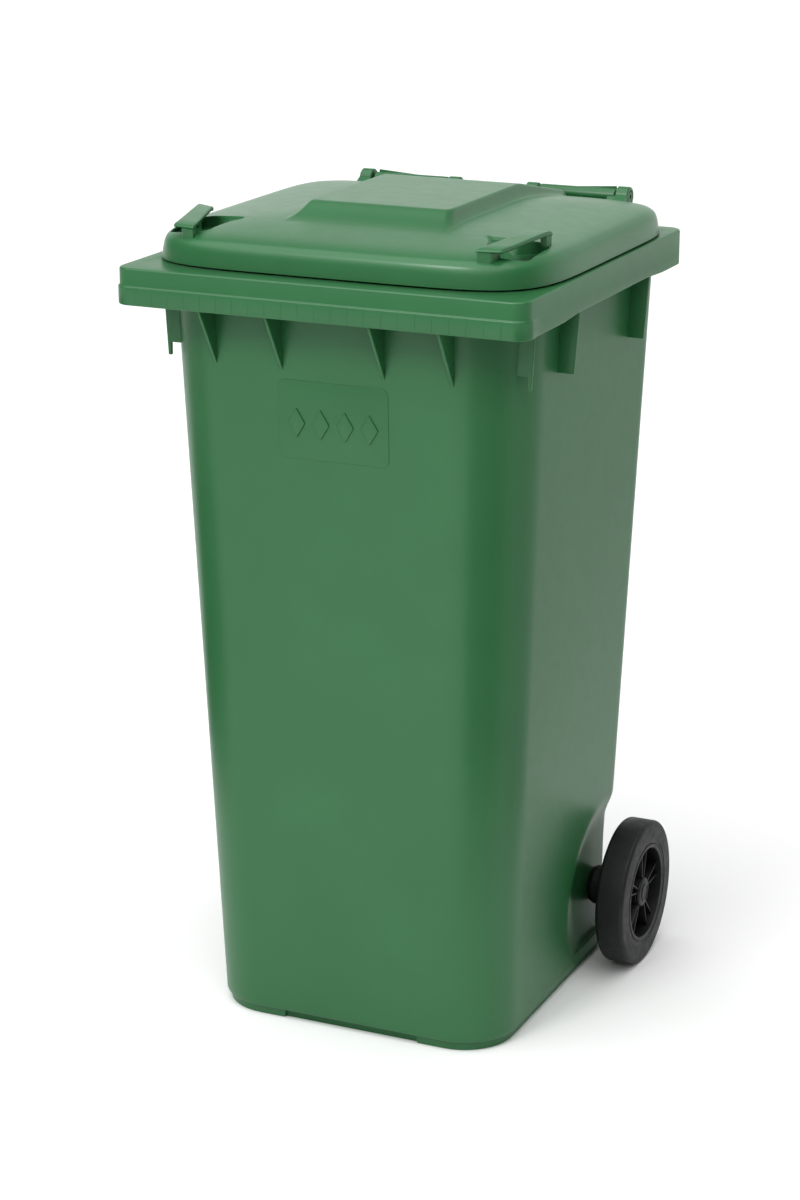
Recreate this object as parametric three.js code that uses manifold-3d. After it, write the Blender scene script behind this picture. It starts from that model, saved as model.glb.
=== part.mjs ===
// Two-wheeled refuse bin of about 120 litres, in millimetres, +Z up.
// The front faces -Y, the hinge, the handles and the wheels are at +Y.
// Heights are counted from the ground. The origin is on the ground, below the middle of the whole bin.

import * as THREE from 'three';
import { mergeVertices } from 'three/addons/utils/BufferGeometryUtils.js';
import Module from 'manifold-3d';

const wasm = await Module();
wasm.setup();

// ---- driving dimensions -------------------------------------------------------------------

const GAP = 0.3; // air between pieces that touch on the real bin
const WALL = 4; // tub wall

const RIM_WIDTH = 496;
const RIM_DEPTH = 512;
const RIM_TOP = 923;
const RIM_HEIGHT = 42;
const RIM_RADIUS = 18;
const BAND_PROUD = 2; // the lower front band stands this far off the skirt
const BAND_WRAP = 30; // how far the band runs back round the front corners

const TUB_BASE = { half: 189, front: -172, rear: 220 };
const TUB_TOP = { half: 221, front: -214, rear: 250 };
const TUB_FRONT_RADIUS = 68;
const TUB_REAR_RADIUS = 36;
const MOUTH = { half: 214, front: -207, rear: 228, radius: 75 };
const PLINTH_HEIGHT = 12;
const PLINTH_INSET = 5;
const FLOOR_TOP = 17;

const WHEEL_RADIUS = 91.5;
const WHEEL_WIDTH = 36.5;
const WHEEL_OUTER_X = 252.5;
const AXLE_Y = 176;
const AXLE_Z = WHEEL_RADIUS;
const AXLE_RADIUS = 10;
const AXLE_HALF_LENGTH = 240;
const CHEEK_INNER_X = 170;
const CHEEK_OUTER_X = 178;
const ARCH_RADIUS = 118;
const BAY_FRONT_Y = 134;
const BAY_TOP_Z = 128;

const LID_HALF_WIDTH = 242.5;
const LID_FRONT = -227;
const LID_REAR = 240;
const LID_SQUARENESS = { front: 5.5, rear: 8.5 }; // exponents of the superellipse that the lid's outline follows
const LID_WALL = 3.5;

const HINGE_Y = 258;
const HINGE_Z = RIM_TOP + 32;
const HANDLE_RADIUS = 8.5;
const HANDLE_INNER_X = 62;
const HANDLE_OUTER_X = 160;
const KNUCKLE_RADIUS = 12;
const KNUCKLE_WIDTH = 16;
const PIN_RADIUS = 4.7;
const ARM_THICKNESS = 9;

const REAR_MOST = Math.max(HINGE_Y + KNUCKLE_RADIUS, AXLE_Y + WHEEL_RADIUS);
const FRONT_MOST = -RIM_DEPTH / 2 - BAND_PROUD;

const SIDES = [
  { name: 'left', sign: -1 },
  { name: 'right', sign: 1 },
];

// ---- materials ----------------------------------------------------------------------------

const GREEN = { color: 0x3f7d4f, roughness: 0.42, metalness: 0 };
const LID_GREEN = { color: 0x417f52, roughness: 0.38, metalness: 0 };
const PIN_GREEN = { color: 0x397449, roughness: 0.45, metalness: 0 };
const RUBBER = { color: 0x26282a, roughness: 0.8, metalness: 0 };
const BLACK_PLASTIC = { color: 0x1c1d1e, roughness: 0.55, metalness: 0 };
const STEEL = { color: 0xa9adb0, roughness: 0.35, metalness: 1 };

// ---- solids -------------------------------------------------------------------------------

function toSolid(geometry) {
  const bare = geometry.clone();
  bare.deleteAttribute('normal');
  bare.deleteAttribute('uv');
  const merged = mergeVertices(bare, 1e-4);
  const mesh = new wasm.Mesh({
    numProp: 3,
    vertProperties: new Float32Array(merged.attributes.position.array),
    triVerts: new Uint32Array(merged.index.array),
  });
  return new wasm.Manifold(mesh);
}

function toGeometry(solid) {
  const mesh = solid.getMesh();
  const geometry = new THREE.BufferGeometry();
  geometry.setAttribute('position', new THREE.BufferAttribute(mesh.vertProperties, 3));
  geometry.setIndex(new THREE.BufferAttribute(mesh.triVerts, 1));
  geometry.computeVertexNormals();
  return geometry;
}

function join(solids) {
  return solids.reduce((whole, solid) => whole.add(solid));
}

function cutAll(solid, cutters) {
  return cutters.reduce((rest, cutter) => rest.subtract(cutter), solid);
}

function boxSolid(x0, x1, y0, y1, z0, z1) {
  const box = new THREE.BoxGeometry(x1 - x0, y1 - y0, z1 - z0);
  box.translate((x0 + x1) / 2, (y0 + y1) / 2, (z0 + z1) / 2);
  return toSolid(box);
}

function polygon(points) {
  return new THREE.Shape(points.map(([a, b]) => new THREE.Vector2(a, b)));
}

function extrude(shape, depth, curveSegments = 6) {
  return new THREE.ExtrudeGeometry(shape, { depth, bevelEnabled: false, curveSegments });
}

// An outline drawn in (X, Y), raised from z0 to z1.
function prismZ(shape, z0, z1, curveSegments) {
  const prism = extrude(shape, z1 - z0, curveSegments);
  prism.translate(0, 0, z0);
  return prism;
}

// An outline drawn in (Y, Z), stretched along X from x0 to x1.
function prismX(shape, x0, x1, curveSegments) {
  const prism = extrude(shape, x1 - x0, curveSegments);
  const basis = new THREE.Matrix4();
  basis.makeBasis(new THREE.Vector3(0, 1, 0), new THREE.Vector3(0, 0, 1), new THREE.Vector3(1, 0, 0));
  prism.applyMatrix4(basis);
  prism.translate(x0, 0, 0);
  return prism;
}

// An outline drawn in (X, Z), stretched along Y from y0 to y1.
function prismY(shape, y0, y1, curveSegments) {
  const prism = extrude(shape, y1 - y0, curveSegments);
  prism.rotateX(Math.PI / 2);
  prism.translate(0, y1, 0);
  return prism;
}

// A solid of revolution about a line along X. The profile holds (distance along X, radius) pairs.
function turned(profile, segments = 28) {
  const points = profile.map(([along, radius]) => new THREE.Vector2(radius, along));
  const closed = profile[0][1] > 0 ? [...points, points[0].clone()] : points;
  const lathe = new THREE.LatheGeometry(closed, segments);
  lathe.rotateZ(-Math.PI / 2);
  return lathe;
}

function cylinderX(radius, x0, x1, segments) {
  return turned([[x0, 0], [x0, radius], [x1, radius], [x1, 0]], segments);
}

function placed(geometry, x, y, z) {
  geometry.translate(x, y, z);
  return toSolid(geometry);
}

// Rounded rectangle with its own radius at the front and at the rear corners.
function roundedOutline(half, front, rear, frontRadius, rearRadius) {
  const shape = new THREE.Shape();
  const quarter = Math.PI / 2;
  shape.absarc(half - frontRadius, front + frontRadius, frontRadius, -quarter, 0);
  shape.absarc(half - rearRadius, rear - rearRadius, rearRadius, 0, quarter);
  shape.absarc(-half + rearRadius, rear - rearRadius, rearRadius, quarter, 2 * quarter);
  shape.absarc(-half + frontRadius, front + frontRadius, frontRadius, 2 * quarter, 3 * quarter);
  return shape;
}

// ---- body ---------------------------------------------------------------------------------

function tubSizeAt(z) {
  const t = z / (RIM_TOP - RIM_HEIGHT);
  return {
    half: THREE.MathUtils.lerp(TUB_BASE.half, TUB_TOP.half, t),
    front: THREE.MathUtils.lerp(TUB_BASE.front, TUB_TOP.front, t),
    rear: THREE.MathUtils.lerp(TUB_BASE.rear, TUB_TOP.rear, t),
  };
}

// The tapering tub from z0 to z1, with every face moved inwards by the inset.
function tubSolid(inset, z0, z1) {
  const low = tubSizeAt(z0);
  const shape = roundedOutline(
    low.half - inset,
    low.front + inset,
    low.rear - inset,
    TUB_FRONT_RADIUS - inset,
    TUB_REAR_RADIUS - inset,
  );
  const loft = prismZ(shape, z0, z1, 6);
  const position = loft.attributes.position;
  for (let i = 0; i < position.count; i += 1) {
    const size = tubSizeAt(position.getZ(i));
    const share = (position.getY(i) - low.front - inset) / (low.rear - low.front - 2 * inset);
    position.setX(i, (position.getX(i) * (size.half - inset)) / (low.half - inset));
    position.setY(i, size.front + inset + share * (size.rear - size.front - 2 * inset));
  }
  return toSolid(loft);
}

function plinthSolid(inset, z0, z1) {
  const base = tubSizeAt(PLINTH_HEIGHT);
  const shape = roundedOutline(
    base.half - inset,
    base.front + inset,
    base.rear - inset,
    TUB_FRONT_RADIUS - inset,
    TUB_REAR_RADIUS - Math.min(inset, TUB_REAR_RADIUS - 8),
  );
  return toSolid(prismZ(shape, z0, z1, 6));
}

// Shallow hollow in the tub's side that the wheel stands in.
function archSolid(side, faceX, radius) {
  const near = side.sign > 0 ? faceX : -faceX - 80;
  return placed(cylinderX(radius, near, near + 80, 36), 0, AXLE_Y, AXLE_Z);
}

function axleBay(margin) {
  const halfWidth = CHEEK_INNER_X + margin;
  return boxSolid(-halfWidth, halfWidth, BAY_FRONT_Y - margin, 300, -1, BAY_TOP_Z + margin);
}

function tubCavity() {
  const cavity = tubSolid(WALL, FLOOR_TOP, RIM_TOP - WALL);
  const arches = SIDES.map((side) => archSolid(side, CHEEK_OUTER_X - WALL, ARCH_RADIUS + WALL));
  return cutAll(cavity, [axleBay(WALL), ...arches]);
}

// The mouth has rounder corners than the tub, so that the lid covers it all round.
function mouthSolid() {
  const { half, front, rear, radius } = MOUTH;
  return toSolid(prismZ(roundedOutline(half, front, rear, radius, radius), RIM_TOP - WALL - 1, RIM_TOP + 1, 8));
}

function rimSkirt() {
  const halfDepth = RIM_DEPTH / 2;
  const bottom = RIM_TOP - RIM_HEIGHT;
  const outline = (grow) => roundedOutline(
    RIM_WIDTH / 2 + grow,
    -halfDepth - grow,
    halfDepth + grow,
    RIM_RADIUS + grow,
    RIM_RADIUS + grow,
  );
  const skirt = toSolid(prismZ(outline(0), bottom, RIM_TOP, 6));
  const bandRing = toSolid(prismZ(outline(BAND_PROUD), bottom, RIM_TOP - RIM_HEIGHT / 2, 6));
  const bandReach = boxSolid(-300, 300, -300, -halfDepth + BAND_WRAP, 0, RIM_TOP);
  const hollow = toSolid(prismZ(outline(-WALL), bottom - 1, RIM_TOP - WALL, 6));
  return skirt.add(bandRing.intersect(bandReach)).subtract(hollow);
}

const RIB_THICKNESS = 4;
const FRONT_RIB_X = [-145, -62.5, 62.5, 145];
const FRONT_RIB_TIP_Z = 812;
const SIDE_RIBS = [
  { y: -150, bottom: 800, prong: 15 },
  { y: -86, bottom: 811, prong: 0 },
  { y: 144, bottom: 809, prong: 0 },
];
const SIDE_RIB_OUTER_X = 235;

function frontRib(x) {
  const inside = RIM_TOP - WALL + 1;
  const skirtFace = -RIM_DEPTH / 2 + WALL - 1;
  const tipY = tubSizeAt(FRONT_RIB_TIP_Z).front + 1;
  const outline = polygon([
    [skirtFace, inside],
    [skirtFace, RIM_TOP - RIM_HEIGHT],
    [tipY, FRONT_RIB_TIP_Z],
    [tipY, inside],
  ]);
  return toSolid(prismX(outline, x - RIB_THICKNESS / 2, x + RIB_THICKNESS / 2));
}

function sideRib(side, rib) {
  const inside = RIM_TOP - WALL + 1;
  const wallX = tubSizeAt(rib.bottom).half - WALL / 2;
  const points = [
    [wallX, inside],
    [RIM_WIDTH / 2 - WALL + 1, inside],
    [RIM_WIDTH / 2 - WALL + 1, RIM_TOP - RIM_HEIGHT],
    [SIDE_RIB_OUTER_X, rib.bottom - rib.prong],
    [SIDE_RIB_OUTER_X - 4, rib.bottom - rib.prong],
    [SIDE_RIB_OUTER_X - 4, rib.bottom],
    [wallX, rib.bottom],
  ];
  const outline = polygon(points.map(([x, z]) => [side.sign * x, z]));
  return toSolid(prismY(outline, rib.y - RIB_THICKNESS / 2, rib.y + RIB_THICKNESS / 2));
}

// Grip tube on the hinge line, its two arms up from the rear rim, and the fin along its back.
function handleSolids(side) {
  const spanX = (inner, outer) => (side.sign > 0 ? [inner, outer] : [-outer, -inner]);
  const tube = cylinderX(HANDLE_RADIUS, ...spanX(HANDLE_INNER_X, HANDLE_OUTER_X), 20);
  const armOutline = polygon([
    [245, RIM_TOP - 2],
    [245, HINGE_Z - 6],
    [252, HINGE_Z + 4],
    [HINGE_Y + 9, HINGE_Z],
    [HINGE_Y + 6, HINGE_Z - 10],
    [RIM_DEPTH / 2 - 1, RIM_TOP + 10],
    [RIM_DEPTH / 2 - 1, RIM_TOP - 2],
  ]);
  const armStarts = [HANDLE_INNER_X, HANDLE_OUTER_X - ARM_THICKNESS];
  const arms = armStarts.map((x) => toSolid(prismX(armOutline, ...spanX(x, x + ARM_THICKNESS))));
  const finOutline = polygon([
    [side.sign * (HANDLE_INNER_X + 6), HINGE_Z],
    [side.sign * (HANDLE_OUTER_X - 2), HINGE_Z],
    [side.sign * (HANDLE_OUTER_X - 2), HINGE_Z + 11],
    [side.sign * (HANDLE_INNER_X + 6), HINGE_Z + 5],
  ]);
  const fin = toSolid(prismY(finOutline, HINGE_Y + 5, HINGE_Y + 7.5));
  return [placed(tube, 0, HINGE_Y, HINGE_Z), fin, ...arms];
}

const NEST_Y = -233;
const NEST_RADIUS = 16;
const NEST_BORE = 13;
const NEST_BOTTOM = 899;
const NEST_CEILING = 917;

function cylinderZ(radius, z0, z1, x, y, segments = 20) {
  const post = new THREE.CylinderGeometry(radius, radius, z1 - z0, segments);
  post.rotateX(Math.PI / 2);
  return placed(post, x, y, (z0 + z1) / 2);
}

const PAD = { halfWidth: 68, z0: 713, z1: 804, proud: 0.9, radius: 9 };
const CHEVRON = { count: 4, width: 24, height: 34, pitch: 32, stroke: 9, middleZ: 755 };

// Faint raised pad on the front wall with a row of plain chevrons on it.
function frontMark() {
  const pad = new THREE.Shape();
  const { halfWidth, z0, z1, radius } = PAD;
  pad.absarc(halfWidth - radius, z0 + radius, radius, -Math.PI / 2, 0);
  pad.absarc(halfWidth - radius, z1 - radius, radius, 0, Math.PI / 2);
  pad.absarc(-halfWidth + radius, z1 - radius, radius, Math.PI / 2, Math.PI);
  pad.absarc(-halfWidth + radius, z0 + radius, radius, Math.PI, 1.5 * Math.PI);
  const solids = [leanToFront(prismY(pad, -PAD.proud, 2, 3))];
  for (let i = 0; i < CHEVRON.count; i += 1) {
    const x = (i - (CHEVRON.count - 1) / 2) * CHEVRON.pitch;
    solids.push(leanToFront(prismY(chevronShape(x), -2.6 * PAD.proud, 2)));
  }
  return join(solids);
}

function chevronShape(x) {
  const { width, height, stroke, middleZ } = CHEVRON;
  const foot = middleZ - height / 2;
  const tip = middleZ + height / 2;
  return polygon([
    [x - width / 2, foot],
    [x, tip - 1.4 * stroke],
    [x + width / 2, foot],
    [x + width / 2, foot + 1.4 * stroke],
    [x, tip],
    [x - width / 2, foot + 1.4 * stroke],
  ]);
}

// Shifts a flat relief, drawn about Y = 0, onto the sloping front wall.
function leanToFront(geometry) {
  const position = geometry.attributes.position;
  for (let i = 0; i < position.count; i += 1) {
    position.setY(i, position.getY(i) + tubSizeAt(position.getZ(i)).front);
  }
  return toSolid(geometry);
}

function bodySolid() {
  const nestPost = cylinderZ(NEST_RADIUS, NEST_BOTTOM, RIM_TOP - 1, 0, NEST_Y);
  const outside = join([
    tubSolid(0, PLINTH_HEIGHT, RIM_TOP - 1),
    plinthSolid(PLINTH_INSET, 0, PLINTH_HEIGHT + 1),
    rimSkirt(),
    ...FRONT_RIB_X.map(frontRib),
    ...SIDES.flatMap((side) => SIDE_RIBS.map((rib) => sideRib(side, rib))),
    ...SIDES.flatMap(handleSolids),
    nestPost,
    frontMark(),
  ]);
  const underFoot = plinthSolid(PLINTH_INSET + 12, -1, FLOOR_TOP - WALL);
  const footRear = boxSolid(-300, 300, BAY_FRONT_Y - 12, 300, -2, FLOOR_TOP);
  const toeRecess = boxSolid(-90, 90, -200, TUB_BASE.front + PLINTH_INSET + 5, -1, PLINTH_HEIGHT - 1);
  const pinBore = cylinderX(PIN_RADIUS + GAP, -HANDLE_OUTER_X - 1, HANDLE_OUTER_X + 1, 20);
  const axleHole = cylinderX(AXLE_RADIUS + 3.3, -200, 200, 24);
  return cutAll(outside, [
    tubCavity(),
    mouthSolid(),
    axleBay(0),
    underFoot.subtract(footRear),
    toeRecess,
    ...SIDES.map((side) => archSolid(side, CHEEK_OUTER_X, ARCH_RADIUS)),
    placed(pinBore, 0, HINGE_Y, HINGE_Z),
    placed(axleHole, 0, AXLE_Y, AXLE_Z),
    cylinderZ(NEST_BORE, NEST_BOTTOM - 1, NEST_CEILING, 0, NEST_Y),
  ]);
}

// ---- lid ----------------------------------------------------------------------------------

const LID_MIDDLE_Y = (LID_FRONT + LID_REAR) / 2;
const LID_HALF_DEPTH = (LID_REAR - LID_FRONT) / 2;

// Revolved profile of (share of the outline, height above the rim) pairs, squared off in plan.
function squaredDome(profile, segments = 40) {
  const points = profile.map(([share, height]) => new THREE.Vector2(share, height));
  const dome = new THREE.LatheGeometry(points, segments);
  dome.rotateX(Math.PI / 2);
  const position = dome.attributes.position;
  const squash = (part, exponent) => {
    const size = Math.abs(part) < 1e-9 ? 0 : Math.abs(part);
    return Math.sign(part) * size ** (2 / exponent);
  };
  for (let i = 0; i < position.count; i += 1) {
    const x = position.getX(i);
    const y = position.getY(i);
    const share = Math.hypot(x, y);
    const turn = Math.atan2(y, x);
    const exponent = y > 1e-9 ? LID_SQUARENESS.rear : LID_SQUARENESS.front;
    const reach = share < 1e-6 ? 0 : share;
    position.setX(i, squash(Math.cos(turn), exponent) * reach * LID_HALF_WIDTH);
    position.setY(i, LID_MIDDLE_Y + squash(Math.sin(turn), exponent) * reach * LID_HALF_DEPTH);
    position.setZ(i, position.getZ(i) + RIM_TOP);
  }
  return toSolid(dome);
}

const LID_PROFILE = [[0, 50], [0.3, 49], [0.6, 44], [0.82, 38], [0.93, 33], [0.97, 28], [0.988, 20], [1, 2]];

function domeOutside() {
  return squaredDome([[0, 2], ...LID_PROFILE.slice().reverse()]);
}

function domeInside() {
  const share = LID_WALL / LID_HALF_WIDTH;
  const inner = LID_PROFILE.map(([reach, height]) => [Math.max(0, reach - share * reach), height - LID_WALL]);
  inner[inner.length - 1][1] = 1;
  return squaredDome([[0, 1], ...inner.reverse()]);
}

const PANEL = { halfWidth: 97, front: -117, top: 62, shoulder: 45, crest: 122, rear: 236, rearHeight: 38 };
const PANEL_DRAFT = 0.56;

// Raised panel: its side view runs along Y, and its sides lean in by the draft.
function panelSolid(inset) {
  const base = 24;
  const outline = polygon([
    [PANEL.front - 12 + inset, base],
    [PANEL.front + inset, PANEL.shoulder - inset * 0.4],
    [PANEL.front + 30 + inset * 0.6, PANEL.top - inset],
    [PANEL.crest, PANEL.top - inset],
    [PANEL.rear - inset, PANEL.rearHeight - inset],
    [PANEL.rear - inset, base],
  ]);
  const prism = prismX(outline, -1, 1);
  const position = prism.attributes.position;
  for (let i = 0; i < position.count; i += 1) {
    const half = PANEL.halfWidth - inset - (position.getZ(i) - PANEL.shoulder) * PANEL_DRAFT;
    position.setX(i, position.getX(i) * half);
    position.setZ(i, position.getZ(i) + RIM_TOP);
  }
  return toSolid(prism);
}

// Corners of a grip strap in plan: [inboard, outboard], at its front and at its rear end.
const GRIP_FRONT = [[170, -212], [198, -206]];
const GRIP_REAR = [[194, -116], [218, -104]];

// Side view of the strap: (share of the way from its front to its rear end, height above the rim).
const STRAP = [
  [0.06, 26],
  [0.02, 37],
  [0.01, 42],
  [0.05, 45],
  [0.96, 52],
  [1, 49],
  [0.98, 46],
  [0.22, 40],
  [0.17, 26],
];
const STRAP_LEG = [[0.88, 20], [0.99, 20], [0.99, 49], [0.86, 47]];

function gripSolid(side) {
  const strap = prismX(polygon(STRAP), 0, 1);
  const leg = prismX(polygon(STRAP_LEG), ...(side.sign > 0 ? [0.74, 1] : [0, 0.26]));
  return join([strap, leg].map((piece) => spreadOverGrip(piece, side)));
}

// Takes a piece drawn in shares (inboard to outboard, front to rear) to its place on the lid.
function spreadOverGrip(piece, side) {
  const position = piece.attributes.position;
  const front = GRIP_FRONT.map(([x, y]) => new THREE.Vector2(x, y));
  const rear = GRIP_REAR.map(([x, y]) => new THREE.Vector2(x, y));
  for (let i = 0; i < position.count; i += 1) {
    const across = side.sign > 0 ? position.getX(i) : 1 - position.getX(i);
    const near = front[0].clone().lerp(front[1], across);
    const far = rear[0].clone().lerp(rear[1], across);
    const place = near.lerp(far, position.getY(i));
    position.setX(i, side.sign * place.x);
    position.setY(i, place.y);
    position.setZ(i, position.getZ(i) + RIM_TOP);
  }
  return toSolid(piece);
}

// Finger pocket under the strap, inside the lid's round shoulder, running to a point inboard.
function pocketSolid(side, grow) {
  const floor = RIM_TOP + 24 - grow;
  const points = [
    [219 + grow, -178 - grow],
    [219 + grow, -112],
    [204, -103 + grow],
    [186, -108 + grow],
    [144 - 2 * grow, -121],
    [159 - grow, -156],
    [165 - grow, -184 - grow],
    [178, -190 - grow],
    [200, -190 - grow],
  ];
  const outline = polygon(points.map(([x, y]) => [side.sign * x, y]));
  return toSolid(prismZ(outline, floor, RIM_TOP + 70));
}

const KNUCKLE_STARTS = [HANDLE_INNER_X - 2 - KNUCKLE_WIDTH, HANDLE_OUTER_X + 2];

function knuckleSolid(side, start) {
  const x0 = side.sign > 0 ? start : -start - KNUCKLE_WIDTH;
  const ring = placed(cylinderX(KNUCKLE_RADIUS, x0, x0 + KNUCKLE_WIDTH, 24), 0, HINGE_Y, HINGE_Z);
  const web = polygon([
    [LID_REAR - 14, HINGE_Z - 12],
    [HINGE_Y, HINGE_Z - KNUCKLE_RADIUS + 0.5],
    [HINGE_Y, HINGE_Z],
    [HINGE_Y - 10, HINGE_Z + 4],
    [LID_REAR - 6, HINGE_Z - 2],
    [LID_REAR - 14, HINGE_Z - 3],
  ]);
  return ring.add(toSolid(prismX(web, x0, x0 + KNUCKLE_WIDTH)));
}

const PIN_HEAD_RADIUS = 7.5;
const PIN_HEAD_LENGTH = 3;

function lidSolid() {
  const pockets = SIDES.map((side) => pocketSolid(side, 0));
  const pocketLiners = SIDES.map((side) => pocketSolid(side, LID_WALL));
  const hollow = cutAll(domeInside().add(panelSolid(LID_WALL)), pocketLiners);
  const shell = cutAll(domeOutside().add(panelSolid(0)), [...pockets, hollow]);
  const added = [
    ...SIDES.map(gripSolid),
    ...SIDES.flatMap((side) => KNUCKLE_STARTS.map((start) => knuckleSolid(side, start))),
  ];
  const reach = HANDLE_OUTER_X + 2 + KNUCKLE_WIDTH;
  const bore = cylinderX(PIN_RADIUS + GAP, -reach - 1, reach + 1, 20);
  const headSeats = SIDES.map((side) => {
    const x0 = side.sign > 0 ? reach - PIN_HEAD_LENGTH - GAP : -reach - 1;
    return placed(cylinderX(PIN_HEAD_RADIUS + GAP, x0, x0 + PIN_HEAD_LENGTH + GAP + 1, 24), 0, HINGE_Y, HINGE_Z);
  });
  const insideClear = domeInside().subtract(boxSolid(-300, 300, 226, 300, 0, 2000));
  return cutAll(join([shell, ...added]), [
    placed(bore, 0, HINGE_Y, HINGE_Z),
    ...headSeats,
    cutAll(insideClear, pocketLiners),
  ]);
}

// ---- hinge pins ---------------------------------------------------------------------------

function hingePin(side) {
  const inner = KNUCKLE_STARTS[0] + 2;
  const outer = HANDLE_OUTER_X + 2 + KNUCKLE_WIDTH;
  const bore = 2.6;
  const profile = [
    [inner, bore],
    [inner, PIN_RADIUS],
    [outer - PIN_HEAD_LENGTH, PIN_RADIUS],
    [outer - PIN_HEAD_LENGTH, PIN_HEAD_RADIUS],
    [outer, PIN_HEAD_RADIUS - 0.8],
    [outer, bore],
  ];
  const pin = turned(profile, 20);
  pin.rotateZ(side.sign > 0 ? 0 : Math.PI);
  return pin;
}

// ---- wheels -------------------------------------------------------------------------------

const HUB_RADIUS = 19;
const HUB_END = 29;
const SEAT_START = 14;
const SEAT_RADIUS = 15.3;
const RIM_INNER_RADIUS = 57;
const RIM_OUTER_RADIUS = 62;
const SPOKES = 5;
const SPOKE_THICKNESS = 2.4;

// Wheel pieces are drawn about their axle line, from 0 at the inner face to the width outside.
function wheelCentre() {
  const ring = turned([
    [1.5, RIM_INNER_RADIUS],
    [1.5, RIM_OUTER_RADIUS],
    [WHEEL_WIDTH - 1.5, RIM_OUTER_RADIUS],
    [WHEEL_WIDTH - 1.5, RIM_INNER_RADIUS],
  ]);
  const web = turned([[13, HUB_RADIUS - 2], [13, RIM_INNER_RADIUS + 1], [17, RIM_INNER_RADIUS + 1], [17, HUB_RADIUS - 2]]);
  const hub = turned([
    [0.5, AXLE_RADIUS + GAP],
    [0.5, HUB_RADIUS],
    [HUB_END, HUB_RADIUS],
    [HUB_END, SEAT_RADIUS],
    [SEAT_START, SEAT_RADIUS],
    [SEAT_START, AXLE_RADIUS + GAP],
  ]);
  const solids = [ring, web, hub].map(toSolid);
  for (let i = 0; i < SPOKES; i += 1) {
    const middle = (i * 2 * Math.PI) / SPOKES + Math.PI / 2;
    solids.push(spokeRib(middle, 1), spokeRib(middle, -1));
  }
  return join(solids);
}

// One of the two thin ribs of a spoke, which spread from the hub to the rim.
function spokeRib(middle, spread) {
  const hubTurn = middle + spread * 0.12;
  const rimTurn = middle + spread * 0.16;
  const start = new THREE.Vector2(Math.cos(hubTurn), Math.sin(hubTurn)).multiplyScalar(HUB_RADIUS - 2);
  const end = new THREE.Vector2(Math.cos(rimTurn), Math.sin(rimTurn)).multiplyScalar(RIM_INNER_RADIUS + 1);
  const across = end.clone().sub(start).normalize().rotateAround(new THREE.Vector2(), Math.PI / 2);
  across.multiplyScalar(SPOKE_THICKNESS / 2);
  const outline = new THREE.Shape([
    start.clone().add(across),
    end.clone().add(across),
    end.clone().sub(across),
    start.clone().sub(across),
  ]);
  return toSolid(prismX(outline, 4, HUB_END - 1));
}

function tyre() {
  const inner = RIM_OUTER_RADIUS + GAP;
  return turned([
    [1, inner],
    [0, inner + 4],
    [0, WHEEL_RADIUS - 6],
    [2, WHEEL_RADIUS - 1.5],
    [6, WHEEL_RADIUS],
    [WHEEL_WIDTH - 6, WHEEL_RADIUS],
    [WHEEL_WIDTH - 2, WHEEL_RADIUS - 1.5],
    [WHEEL_WIDTH, WHEEL_RADIUS - 6],
    [WHEEL_WIDTH, inner + 4],
    [WHEEL_WIDTH - 1, inner],
  ]);
}

function washer() {
  const [start, end] = [SEAT_START + GAP, SEAT_START + GAP + 1.5];
  return turned([[start, AXLE_RADIUS + GAP], [start, 14.8], [end, 14.8], [end, AXLE_RADIUS + GAP]], 24);
}

function retainingRing() {
  const start = SEAT_START + 2 * GAP + 1.5;
  const inner = AXLE_RADIUS + GAP;
  return turned([[start, inner], [start, 14], [start + 1, 14], [start + 3, inner + 1.2], [start + 3, inner]], 24);
}

function hubCap() {
  const start = HUB_END + GAP;
  return turned([
    [start, 0],
    [start, HUB_RADIUS - 0.5],
    [start + 2, HUB_RADIUS],
    [start + 4, HUB_RADIUS - 2.5],
    [start + 4.4, 11.5],
    [start + 5.6, 11],
    [start + 5.6, 9.5],
    [start + 4.6, 9],
    [start + 4.6, 0],
  ]);
}

// ---- pieces on the axle -------------------------------------------------------------------

function axleBush() {
  const inner = AXLE_RADIUS + GAP;
  return turned([
    [CHEEK_INNER_X, inner],
    [CHEEK_INNER_X, AXLE_RADIUS + 3],
    [CHEEK_OUTER_X + GAP, AXLE_RADIUS + 3],
    [CHEEK_OUTER_X + GAP, 17],
    [CHEEK_OUTER_X + GAP + 2, 17],
    [CHEEK_OUTER_X + GAP + 2, inner],
  ], 24);
}

function spacer() {
  const start = CHEEK_OUTER_X + 2 + 2 * GAP;
  const end = WHEEL_OUTER_X - WHEEL_WIDTH - GAP;
  const inner = AXLE_RADIUS + GAP;
  return turned([[start, inner], [start, 22], [start + 6, 25], [end, 25], [end, inner]], 24);
}

function axle() {
  const reach = AXLE_HALF_LENGTH;
  return turned([
    [-reach, 0],
    [-reach, AXLE_RADIUS - 1.5],
    [-reach + 1.5, AXLE_RADIUS],
    [reach - 1.5, AXLE_RADIUS],
    [reach, AXLE_RADIUS - 1.5],
    [reach, 0],
  ], 24);
}

function chipPlug() {
  const plug = new THREE.CylinderGeometry(NEST_BORE - GAP, NEST_BORE - GAP, 16, 20);
  plug.rotateX(Math.PI / 2);
  return plug;
}

// ---- assembly -----------------------------------------------------------------------------

function named(name, geometry, finish) {
  const mesh = new THREE.Mesh(geometry, new THREE.MeshStandardMaterial(finish));
  mesh.name = name;
  return mesh;
}

// A group that stands on a side's axle line. The left one is the right one turned about Z.
function axleGroup(side, x) {
  const group = new THREE.Group();
  group.position.set(side.sign * x, AXLE_Y, AXLE_Z);
  group.rotation.z = side.sign > 0 ? 0 : Math.PI;
  return group;
}

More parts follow.
